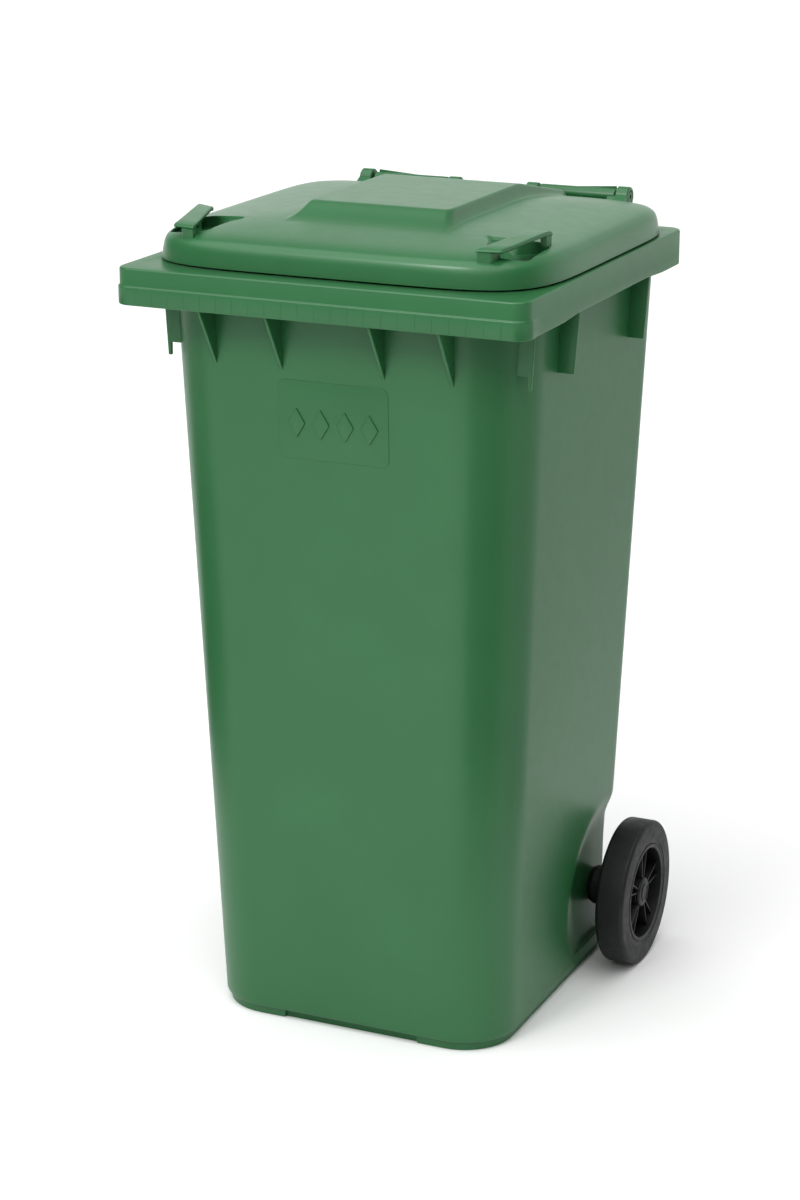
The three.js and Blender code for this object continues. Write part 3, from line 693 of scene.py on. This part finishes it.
def squared(share, turn):
    """Point on the lid's outline shrunk to share, at an angle."""
    c, s = math.cos(turn), math.sin(turn)
    power = 2 / squareness(s)
    x = math.copysign(abs(c) ** power, c) * share * LID_HALF
    y = math.copysign(abs(s) ** power, s) * share * LID_HALF_DEPTH
    return x, at_y(LID_MIDDLE + y)


def spline(points, count):
    """Smooth curve through points, with count samples to a stretch."""
    samples = []
    padded = [points[0]] + list(points) + [points[-1]]
    for i in range(1, len(padded) - 2):
        p0, p1, p2, p3 = (Vector(padded[i + k]) for k in (-1, 0, 1, 2))
        for k in range(count):
            t = k / count
            bend = (2 * p0 - 5 * p1 + 4 * p2 - p3) * t * t + (3 * p1 - p0 - 3 * p2 + p3) * t ** 3
            samples.append(tuple(0.5 * (2 * p1 + (p2 - p0) * t + bend)))
    samples.append(points[-1])
    return samples


DOME_CURVE = spline(DOME, 6)


def dome_height(x, y):
    """Height of the lid's top above the rim, in metres; y is counted from the middle of the rim."""
    power = squareness(y - LID_MIDDLE)
    share = (abs(x / LID_HALF) ** power + abs((y - LID_MIDDLE) / LID_HALF_DEPTH) ** power) ** (1 / power)
    for (s0, h0), (s1, h1) in zip(DOME_CURVE, DOME_CURVE[1:]):
        if share <= s1:
            return (h0 + (h1 - h0) * (share - s0) / (s1 - s0)) * MM
    return DOME_CURVE[-1][1] * MM


def smooth_min(a, b, reach):
    share = max(reach - abs(a - b), 0.0) / reach
    return min(a, b) - share * share * reach / 4


def smooth_max(a, b, reach):
    return -smooth_min(-a, -b, reach)


def make_dome(drop=0.0, solid=False):
    """The lid's domed shell, or the whole volume under its surface lowered by drop."""
    turns = lid_turns(288)
    crown = 0.002  # the middle of the dome is a tiny ring, never a point
    shrink = 1 - LID_WALL / LID_HALF

    def ring(share, height):
        return [(*squared(max(share, crown), turn), height) for turn in turns]

    outer = [ring(share, RIM_TOP + height * MM - drop) for share, height in DOME_CURVE]
    if solid:
        return loft("dome_volume", outer)
    base = ring(shrink, RIM_TOP + 2 * MM - drop)
    inner = [ring(share * shrink, RIM_TOP + height * MM - LID_WALL) for share, height in DOME_CURVE[:-3]]
    return loft("lid_dome", outer + [base] + list(reversed(inner)))


PANEL_TOP_HALF = 87.5 * MM
PANEL_FRONT = -87 * MM
PANEL_TOP = 62 * MM
PANEL_CREST = 122 * MM
PANEL_REAR = 236 * MM
PANEL_REAR_TOP = 38 * MM
PANEL_DRAFT = 0.56
PANEL_FALL = (PANEL_TOP - PANEL_REAR_TOP) / (PANEL_REAR - PANEL_CREST)


def panel_edge(y):
    """Half width of the panel's top, which spreads where the top slopes down behind the crest."""
    return PANEL_TOP_HALF + PANEL_DRAFT * PANEL_FALL * max(0.0, y - PANEL_CREST)


def panel_height(x, y):
    """Height of the raised panel's own surface above the rim; it falls off steeply past its edges."""
    sloping = PANEL_TOP - PANEL_FALL * (y - PANEL_CREST)
    top = smooth_min(PANEL_TOP, sloping, 1.5 * MM)
    side = min(PANEL_TOP, sloping) - (abs(x) - panel_edge(y)) / PANEL_DRAFT
    front = PANEL_TOP - (PANEL_FRONT - y) * 17 / 30
    rear = PANEL_REAR_TOP - (y - PANEL_REAR + 2 * MM) * 5  # a steep end wall
    walls = smooth_min(smooth_min(side, front, 13 * MM), rear, 3 * MM)
    return smooth_min(top, walls, 2.6 * MM)


def steps_between(marks):
    """Positions from (start, count) marks: count equal steps from each mark to the next."""
    places = []
    for (start, count), (end, _) in zip(marks, marks[1:]):
        places += [start + (end - start) * k / count for k in range(count)]
    return places + [marks[-1][0]]


PANEL_FILLET = 9 * MM
PANEL_SUNK = 0.35 * MM


def panel_point(x, y):
    """A point of the panel's sheet, and whether it stands clear of the dome or close to it."""
    dome, panel = dome_height(x, y), panel_height(x, y)
    height = smooth_max(dome, panel, PANEL_FILLET)
    sunk = PANEL_SUNK * (1 - smoothstep(-PANEL_FILLET, -0.6 * PANEL_FILLET, panel - dome))
    return (x, at_y(y), RIM_TOP + height - sunk), panel - dome > -PANEL_FILLET - 3 * MM


def make_panel_sheet():
    """The raised panel with its soft foot, as one thin sheet laid over the dome."""
    columns = steps_between([(-48 * MM, 36), (4 * MM, 4), (12 * MM, 1), (12.001 * MM, 1)])[:-1]
    rows = steps_between([(-150 * MM, 52), (-78 * MM, 20), (100 * MM, 14), (136 * MM, 20),
                          (226 * MM, 16), (239.5 * MM, 1)])
    vertices, keep = [], []
    for y in rows:
        edge = panel_edge(y)
        left = [-(edge - offset) for offset in columns]
        middle = [(edge - 12 * MM) * k / 10 for k in range(-9, 10)]
        for x in left + middle + [-value for value in reversed(left)]:
            vertex, kept = panel_point(x, y)
            vertices.append(vertex)
            keep.append(kept)
    wide = len(left) * 2 + len(middle)
    faces = []
    for row in range(len(rows) - 1):
        for k in range(wide - 1):
            corners = (row * wide + k, row * wide + k + 1, (row + 1) * wide + k + 1, (row + 1) * wide + k)
            if any(keep[c] for c in corners):
                faces.append(corners)
    sheet = new_object("lid_panel", vertices, faces)
    drop_loose(sheet)
    return sheet


def make_panel():
    panel = make_panel_sheet()
    thicken = panel.modifiers.new("wall", "SOLIDIFY")
    thicken.thickness = LID_WALL - 0.6 * MM
    thicken.offset = -1 if panel.data.polygons[0].normal.z > 0 else 1
    apply_modifiers(panel)
    return panel


def drop_loose(obj):
    bm = bmesh.new()
    bm.from_mesh(obj.data)
    bmesh.ops.delete(bm, geom=[v for v in bm.verts if not v.link_faces], context="VERTS")
    bm.to_mesh(obj.data)
    bm.free()


POCKET_FLOOR = 24 * MM
# Corners of the right-hand finger pocket in plan, in mm.
POCKET = (
    (219, -178), (219, -112), (204, -103), (186, -108), (144, -121), (159, -156), (165, -184), (178, -190),
    (200, -190),
)
POCKET_MIDDLE = Vector((190 * MM, -148 * MM))
# How far each corner of the pocket draws in at its floor, so that its inboard end rises as a scoop.
POCKET_DRAW = ((0, 0), (0, 0), (0, 0), (2, -4), (30, -8), (10, -2), (0, 0), (0, 0), (0, 0))
POCKET_BRIM = 44 * MM
POCKET_ROUND = 9 * MM


def pocket_outline(sign, grow, at_floor):
    """The pocket in plan with round corners, at its floor or at its brim, grown outwards by grow."""
    points = []
    for (x, y), (dx, dy) in zip(POCKET, POCKET_DRAW):
        point = Vector((x * MM, y * MM))
        point += (point - POCKET_MIDDLE).normalized() * grow * 1.3
        points.append(point + (Vector((dx * MM, dy * MM)) if at_floor else Vector((0, 0))))
    outline = []
    for k, point in enumerate(points):
        before, after = points[k - 1], points[(k + 1) % len(points)]
        radius = min(POCKET_ROUND, (before - point).length / 2.2, (after - point).length / 2.2)
        start = point + (before - point).normalized() * radius
        end = point + (after - point).normalized() * radius
        for n in range(7):
            t = n / 6
            bent = start * (1 - t) ** 2 + point * 2 * t * (1 - t) + end * t * t
            outline.append((sign * bent.x, at_y(bent.y)))
    return outline


def pocket_prism(name, sign, grow, low, high):
    """Finger pocket under a grip, with round corners and an end that rises inboard."""
    rings = []
    for at_floor, height in ((True, low), (False, low + POCKET_BRIM - POCKET_FLOOR), (False, high)):
        rings.append([(x, y, RIM_TOP + height) for x, y in pocket_outline(sign, grow, at_floor)])
    return loft(name, rings)


def make_pocket_liner(side_name, sign):
    liner = pocket_prism(f"pocket_{side_name}", sign, LID_WALL, POCKET_FLOOR - LID_WALL, 60 * MM)
    boolean(liner, make_dome(LID_WALL - 0.4 * MM, solid=True), "INTERSECT")
    boolean(liner, pocket_prism("pocket_cutter", sign, 0, POCKET_FLOOR, 80 * MM))
    return liner


# Corners of a grip strap in plan: (inboard, outboard), at its front and at its rear end.
GRIP_FRONT = (Vector((170 * MM, -212 * MM)), Vector((198 * MM, -206 * MM)))
GRIP_REAR = (Vector((194 * MM, -116 * MM)), Vector((218 * MM, -104 * MM)))
# Side views: (share of the way from front to rear, height above the rim in mm).
STRAP = (
    (0.0, 41.5), (0.012, 43.6), (0.05, 45), (0.25, 46.2), (0.6, 49.2), (0.9, 51.6), (0.96, 51.4),
    (0.995, 49.5), (1.0, 46), (0.97, 45.6), (0.9, 46.8), (0.6, 44.6), (0.25, 41.4), (0.05, 40),
)
FOOT_FRONT = ((0.03, 24), (0.015, 41.5), (0.2, 42.5), (0.17, 24))
FOOT_REAR = ((0.9, 20), (0.88, 48), (0.99, 49), (0.99, 20))
# Pieces of a grip: name, side view, and the shares of the strap's width where the piece starts and ends.
GRIP_PIECES = (
    ("strap", STRAP, 0.0, 1.0),
    ("grip_foot_front", FOOT_FRONT, 0.02, 0.62),
    ("grip_foot_rear", FOOT_REAR, 0.72, 0.98),
)


def make_grip(side_name, sign):
    pieces = []
    steps = 6
    for name, side_view, inner, outer in GRIP_PIECES:
        rings = []
        for k in range(steps + 1):
            across = inner + (outer - inner) * k / steps
            rings.append([grip_point(sign, across, along, height * MM) for along, height in side_view])
        pieces.append(loft(f"{name}_{side_name}", rings))
    return pieces


def grip_point(sign, across, along, height):
    front = GRIP_FRONT[0].lerp(GRIP_FRONT[1], across)
    rear = GRIP_REAR[0].lerp(GRIP_REAR[1], across)
    place = front.lerp(rear, along)
    return (sign * place.x, at_y(place.y), RIM_TOP + height)


KNUCKLE_RADII = (9.5 * MM, 12 * MM)
KNUCKLE_WIDTH = 16 * MM
KNUCKLE_STARTS = (44 * MM, 162 * MM)
HEAD_SEAT = 7.8 * MM
HEAD_DEPTH = 3.3 * MM


def knuckle_web(size):
    """Side view of the web that joins a knuckle of radius size to the lid."""
    front = HINGE_Y - 32 * MM
    inset = 9 * MM  # the web ends inside the knuckle's ring
    outline = [(front, HINGE_Z - 12 * MM), (HINGE_Y, HINGE_Z + 0.5 * MM - size)]
    for turn in steps_between([(0, 6), (0.6 * math.pi, 1)]):
        outline.append((HINGE_Y - inset * math.sin(turn), HINGE_Z - inset * math.cos(turn)))
    outline += [(HINGE_Y - 10.6 * MM, HINGE_Z + 3.4 * MM), (HINGE_Y - 24 * MM, HINGE_Z - 3 * MM)]
    return outline + [(front, HINGE_Z - 3.4 * MM)]


def make_knuckle(side_name, sign, number):
    """One knuckle with its web. The outer knuckle has a seat for the pin's head."""
    start = KNUCKLE_STARTS[number]
    end, edge, size = start + KNUCKLE_WIDTH, 1.2 * MM, KNUCKLE_RADII[number]
    profile = [(start, PIN_BORE), (start, size - edge), (start + edge, size)]
    profile += [(end - edge, size), (end, size - edge)]
    if number:
        profile += [(end, HEAD_SEAT), (end - HEAD_DEPTH, HEAD_SEAT), (end - HEAD_DEPTH, PIN_BORE)]
    else:
        profile += [(end, PIN_BORE)]
    profile = [(sign * x, radius) for x, radius in profile]
    ring = turned(f"knuckle_{side_name}_{number + 1}", profile, (0, HINGE_Y, HINGE_Z), 64, closed=True)
    x0, x1 = span_x(sign, start + 0.4 * MM, end - 0.4 * MM)
    return [ring, prism(f"knuckle_web_{side_name}_{number + 1}", knuckle_web(size), "x", x0, x1)]


PANEL_HOLE_HALF = 86 * MM
PANEL_HOLE_ENDS = (-98 * MM, 222 * MM)


def make_open_dome():
    """The dome with the hole under its panel and the two finger pockets cut out."""
    dome = make_dome()
    front, rear = (at_y(end) for end in PANEL_HOLE_ENDS)
    above = 80 * MM
    hole = [(front, 0.0), (rear, 0.0), (rear, above), (front, above)]
    boolean(dome, prism("panel_hole", hole, "x", -PANEL_HOLE_HALF, PANEL_HOLE_HALF, (0, 0, RIM_TOP)))
    for sign in (-1, 1):
        boolean(dome, pocket_prism("pocket_cutter", sign, 0, POCKET_FLOOR, above))
    return dome


def finish_lid_piece(obj):
    finish_piece(obj, LID, LID_GREEN, ("lid",))


def make_lid():
    finish_lid_piece(soften(make_open_dome(), 0, angle=40))
    finish_lid_piece(soften(make_panel(), 0, angle=60))
    for side_name, sign in SIDES:
        finish_lid_piece(soften(make_pocket_liner(side_name, sign), 0, angle=40))
        for piece in make_grip(side_name, sign):
            finish_lid_piece(soften(piece, 1.9 * MM, 4, 30))
        for number in (0, 1):
            for piece in make_knuckle(side_name, sign, number):
                finish_lid_piece(soften(piece, 0, angle=35))


# ---- wheels -------------------------------------------------------------------------------

WHEEL_RADIUS = 91.5 * MM
WHEEL_WIDTH = 36.5 * MM
WHEEL_START = 216 * MM  # inner face of a wheel; wheel profiles count outwards from here
HUB_RADIUS = 19 * MM
HUB_END = 29 * MM
SEAT_START = 14 * MM
SEAT_RADIUS = 15.3 * MM
AXLE_BORE = 10.3 * MM
RIM_INNER = 57 * MM
RIM_OUTER = 62 * MM
SPOKES = 5
SPOKE_START = math.radians(85)
SPOKE = 2.2 * MM
SPOKE_END = 31 * MM


def arc(x, radius, size, start, end, count=6):
    """Points of a rounded edge in a turned profile; the angles are in degrees from +x towards +radius."""
    points = []
    for k in range(count + 1):
        turn = math.radians(start + (end - start) * k / count)
        points.append((x + size * math.cos(turn), radius + size * math.sin(turn)))
    return points


def wheel_turned(name, profile, sign, segments=160, closed=True):
    placed_profile = [(sign * (WHEEL_START + x), radius) for x, radius in profile]
    return turned(name, placed_profile, (0, AXLE_Y, AXLE_Z), segments, closed)


def make_tyre(side_name, sign):
    """Solid tyre: rounded shoulders and a flat side wall with a shallow step at its inner edge."""
    inner = RIM_OUTER + 0.3 * MM
    wide, edge, recess = WHEEL_WIDTH, 5 * MM, 0.7 * MM
    profile = [(1 * MM, inner), (0, inner + 2 * MM)]
    profile += arc(edge, WHEEL_RADIUS - edge, edge, 180, 90)
    profile += arc(wide - edge, WHEEL_RADIUS - edge, edge, 90, 0)
    profile += [(wide, inner + 6 * MM), (wide - recess, inner + 5.2 * MM)]
    profile += [(wide - recess, inner + 1.2 * MM), (wide - 1.6 * MM, inner)]
    return wheel_turned(f"tyre_ring_{side_name}", profile, sign)


def make_spoke_rib(name, sign, middle, spread):
    """One of the two thin ribs of a spoke, which spread from the hub to the rim."""
    start = direction(middle + spread * 0.12) * (HUB_RADIUS - 2 * MM)
    end = direction(middle + spread * 0.16) * (RIM_INNER + 1 * MM)
    across = (end - start).normalized().orthogonal() * SPOKE / 2
    outline = [start + across, end + across, end - across, start - across]
    outline = [(AXLE_Y + p.x, AXLE_Z + p.y) for p in outline]
    x0, x1 = span_x(sign, WHEEL_START + 4 * MM, WHEEL_START + SPOKE_END)
    return prism(name, outline, "x", x0, x1)


def direction(turn):
    return Vector((math.cos(turn), math.sin(turn)))


def make_wheel_centre(side_name, sign):
    """Rim, web, hub and split spokes of a wheel."""
    wide = WHEEL_WIDTH
    lip = 1.2 * MM
    ring = [(1.5 * MM, RIM_INNER), (1.5 * MM, RIM_OUTER), (wide - 1.5 * MM, RIM_OUTER)]
    ring += arc(wide - lip - 0.3 * MM, RIM_OUTER - lip, lip, 90, 0, 4)
    ring += arc(wide - lip - 0.3 * MM, RIM_INNER + lip, lip, 0, -90, 4)
    web = [(13 * MM, HUB_RADIUS - 2 * MM), (13 * MM, RIM_INNER + 1 * MM)]
    web += [(17 * MM, RIM_INNER + 1 * MM), (17 * MM, HUB_RADIUS - 2 * MM)]
    hub = [(0.5 * MM, AXLE_BORE), (0.5 * MM, HUB_RADIUS)]
    hub += arc(HUB_END - lip, HUB_RADIUS - lip, lip, 90, 0, 4)
    hub += [(HUB_END, SEAT_RADIUS), (SEAT_START, SEAT_RADIUS), (SEAT_START, AXLE_BORE)]
    pieces = [wheel_turned(f"wheel_{part}_{side_name}", profile, sign)
              for part, profile in (("ring", ring), ("web", web), ("hub", hub))]
    for k in range(SPOKES):
        middle = k * 2 * math.pi / SPOKES + SPOKE_START
        for number, spread in enumerate((1, -1)):
            pieces.append(make_spoke_rib(f"spoke_{side_name}_{k + 1}_{number + 1}", sign, middle, spread))
    return pieces


def make_hub_cap(side_name, sign):
    """Flat cap with a raised ring in its middle."""
    start = HUB_END + 0.3 * MM
    profile = [(start, 0.0), (start, HUB_RADIUS - 0.5 * MM), (start + 1 * MM, HUB_RADIUS - 0.2 * MM)]
    profile += [(start + 2.4 * MM, HUB_RADIUS - 0.6 * MM), (start + 3.6 * MM, HUB_RADIUS - 1.8 * MM)]
    profile += [(start + 4.2 * MM, HUB_RADIUS - 3.6 * MM), (start + 4.4 * MM, 12 * MM)]
    profile += arc(start + 4.6 * MM, 10.5 * MM, 1 * MM, 60, -60, 6)
    profile += [(start + 4.5 * MM, 9 * MM), (start + 4.6 * MM, 3 * MM), (start + 4.8 * MM, 0.0)]
    return wheel_turned(f"hub_cap_disc_{side_name}", profile, sign, 96, closed=False)


def make_wheels():
    for side_name, sign in SIDES:
        body = f"wheel_body_{side_name}"
        tyre = soften(make_tyre(side_name, sign), 0, angle=40)
        finish_piece(tyre, body, TYRE_RUBBER, (f"tyre_{side_name}",))
        centre = f"wheel_{side_name}"
        for piece in make_wheel_centre(side_name, sign):
            width = 0.5 * MM if piece.name.startswith("spoke") else 0
            finish_piece(soften(piece, width, 2, 35), body, WHEEL_BLACK, (centre,))
        cap = soften(make_hub_cap(side_name, sign), 0, angle=35)
        finish_piece(cap, body, WHEEL_BLACK, (f"hub_cap_{side_name}",))


# CAD nodes that stay in the picture, by the slot of their material.
KEPT_NODES = {
    "green_pin": (PIN_GREEN, ("hinge_pin_left", "hinge_pin_right")),
    "steel": (
        STEEL, ("axle", "washer_left", "washer_right", "retaining_ring_left", "retaining_ring_right"),
    ),
    "black_plastic": (
        WHEEL_BLACK, ("axle_bush_left", "axle_bush_right", "spacer_left", "spacer_right", "chip_plug"),
    ),
}


def dress_kept_nodes():
    """Materials and smooth shading for the CAD nodes that stay."""
    for slot_name, (material, names) in KEPT_NODES.items():
        for name in names:
            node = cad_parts[name]
            node.data.materials.clear()
            node.data.materials.append(material)
            node.data.shade_smooth()
            node.data.set_sharp_from_angle(angle=math.radians(32))


# ---- camera, floor and light ----------------------------------------------------------------


CAMERA_LENS = 88.06
CAMERA_DISTANCE = 3.5344
CAMERA_AZIMUTH = 24.04
CAMERA_ELEVATION = 17.08
CAMERA_ROLL = math.radians(0.16)
CAMERA_TARGET = Vector((-0.0107, MIDDLE_Y, 0.4929))


def bearing(azimuth, elevation):
    """Direction from the bin, in degrees. The azimuth counts from the front to the bin's right."""
    turn, rise = math.radians(azimuth), math.radians(elevation)
    return Vector((math.sin(turn) * math.cos(rise), -math.cos(turn) * math.cos(rise), math.sin(rise)))


def make_camera():
    data = bpy.data.cameras.new("camera")
    data.lens = CAMERA_LENS
    data.sensor_width = 36
    data.clip_end = 50
    camera = bpy.data.objects.new("camera", data)
    bpy.context.collection.objects.link(camera)
    back = bearing(CAMERA_AZIMUTH, CAMERA_ELEVATION)
    camera.location = CAMERA_TARGET + back * CAMERA_DISTANCE
    look = (-back).to_track_quat("-Z", "Y").to_matrix().to_4x4()
    roll = Matrix.Rotation(CAMERA_ROLL, 4, "Z")
    camera.matrix_world = Matrix.Translation(camera.location) @ look @ roll
    bpy.context.scene.camera = camera


def flat_plate(name, corners, height, material):
    """A level plate of the stage, from (x, y) corners."""
    mesh = bpy.data.meshes.new(name)
    mesh.from_pydata([(x, y, height) for x, y in corners], [], [tuple(range(len(corners)))])
    plate = bpy.data.objects.new(name, mesh)
    bpy.context.collection.objects.link(plate)
    plate.data.materials.append(material)
    return plate


def make_floor():
    reach = 40.0
    white = base_material("floor_white", (0.9, 0.9, 0.9), 0.9, 0.1)[0]
    flat_plate("floor", [(-reach, -reach), (reach, -reach), (reach, reach), (-reach, reach)], 0.0, white)


# Cards lying on the floor, as (x, y) corners.
FLAG_HEIGHT = 4 * MM
FLAG_RIGHT = ((0.30, -0.85), (0.75, -3.6), (3.6, -2.4), (2.6, -0.55), (0.85, -0.35))
FLAG_LEFT = ((-0.80, -0.75), (-2.6, -1.7), (-3.4, 0.6), (-0.95, 0.35))
FLAG_SIDE = ((0.9, -0.33), (2.7, -0.5), (5.0, 0.2), (5.0, 5.0), (0.8, 5.0), (0.5, 0.5))


def make_flags():
    """The cards only show in reflections: they darken the tub's round front corners and its side."""
    black = base_material("flag_black", (0.0, 0.0, 0.0), 1.0, 0.0)[0]
    grey = base_material("flag_grey", (0.5, 0.5, 0.5), 1.0, 0.0)[0]
    cards = (
        ("flag_right", FLAG_RIGHT, black), ("flag_left", FLAG_LEFT, black), ("flag_side", FLAG_SIDE, grey),
    )
    for name, corners, tone in cards:
        flag = flat_plate(name, corners, FLAG_HEIGHT, tone)
        flag.visible_camera = False
        flag.visible_diffuse = False
        flag.visible_shadow = False
        flag.visible_transmission = False
        flag.visible_volume_scatter = False


def key_light(azimuth, elevation, strength, spread):
    """A big far softbox, in the direction that bearing gives."""
    data = bpy.data.lights.new("key", "SUN")
    data.energy = strength
    data.angle = math.radians(spread)
    light = bpy.data.objects.new("key", data)
    bpy.context.collection.objects.link(light)
    light.rotation_euler = (-bearing(azimuth, elevation)).to_track_quat("-Z", "Y").to_euler()


def softbox(place, aim, size, power):
    data = bpy.data.lights.new("softbox", "AREA")
    data.size = size
    data.energy = power
    light = bpy.data.objects.new("softbox", data)
    bpy.context.collection.objects.link(light)
    light.location = place
    light.rotation_euler = (Vector(aim) - Vector(place)).to_track_quat("-Z", "Y").to_euler()


def make_world(ambient, behind, above):
    """Pale studio walls: dim round the camera, brighter low behind the bin and overhead."""
    world = bpy.data.worlds.new("studio")
    bpy.context.scene.world = world
    world.use_nodes = True
    tree = world.node_tree
    coordinates = tree.nodes.new("ShaderNodeTexCoord")
    parts = tree.nodes.new("ShaderNodeSeparateXYZ")
    tree.links.new(coordinates.outputs["Generated"], parts.inputs[0])
    back = ramp(tree, parts.outputs["Y"], 0.1, 0.8, 0, behind)
    low = ramp(tree, parts.outputs["Z"], 0.35, 0.7, 1, 0)
    top = ramp(tree, parts.outputs["Z"], 0.5, 0.9, ambient, ambient + above)
    total = tree.nodes.new("ShaderNodeMath")
    total.operation = "MULTIPLY_ADD"
    for socket, value in zip(total.inputs, (back, low, top)):
        tree.links.new(value, socket)
    background = tree.nodes["Background"]
    background.inputs["Color"].default_value = (1, 1, 1, 1)
    tree.links.new(total.outputs[0], background.inputs["Strength"])


def make_light():
    make_world(ambient=0.16, behind=0.7, above=0.45)
    key_light(azimuth=-10, elevation=62, strength=2.2, spread=90)
    softbox(place=(-0.5, -2.4, 2.9), aim=(0, -0.25, 0.9), size=0.8, power=24)
    bpy.context.scene.view_settings.view_transform = "Standard"
    bpy.context.scene.view_settings.look = "Medium High Contrast"


make_body()
make_lid()
make_wheels()
dress_kept_nodes()
make_camera()
make_floor()
make_flags()
make_light()
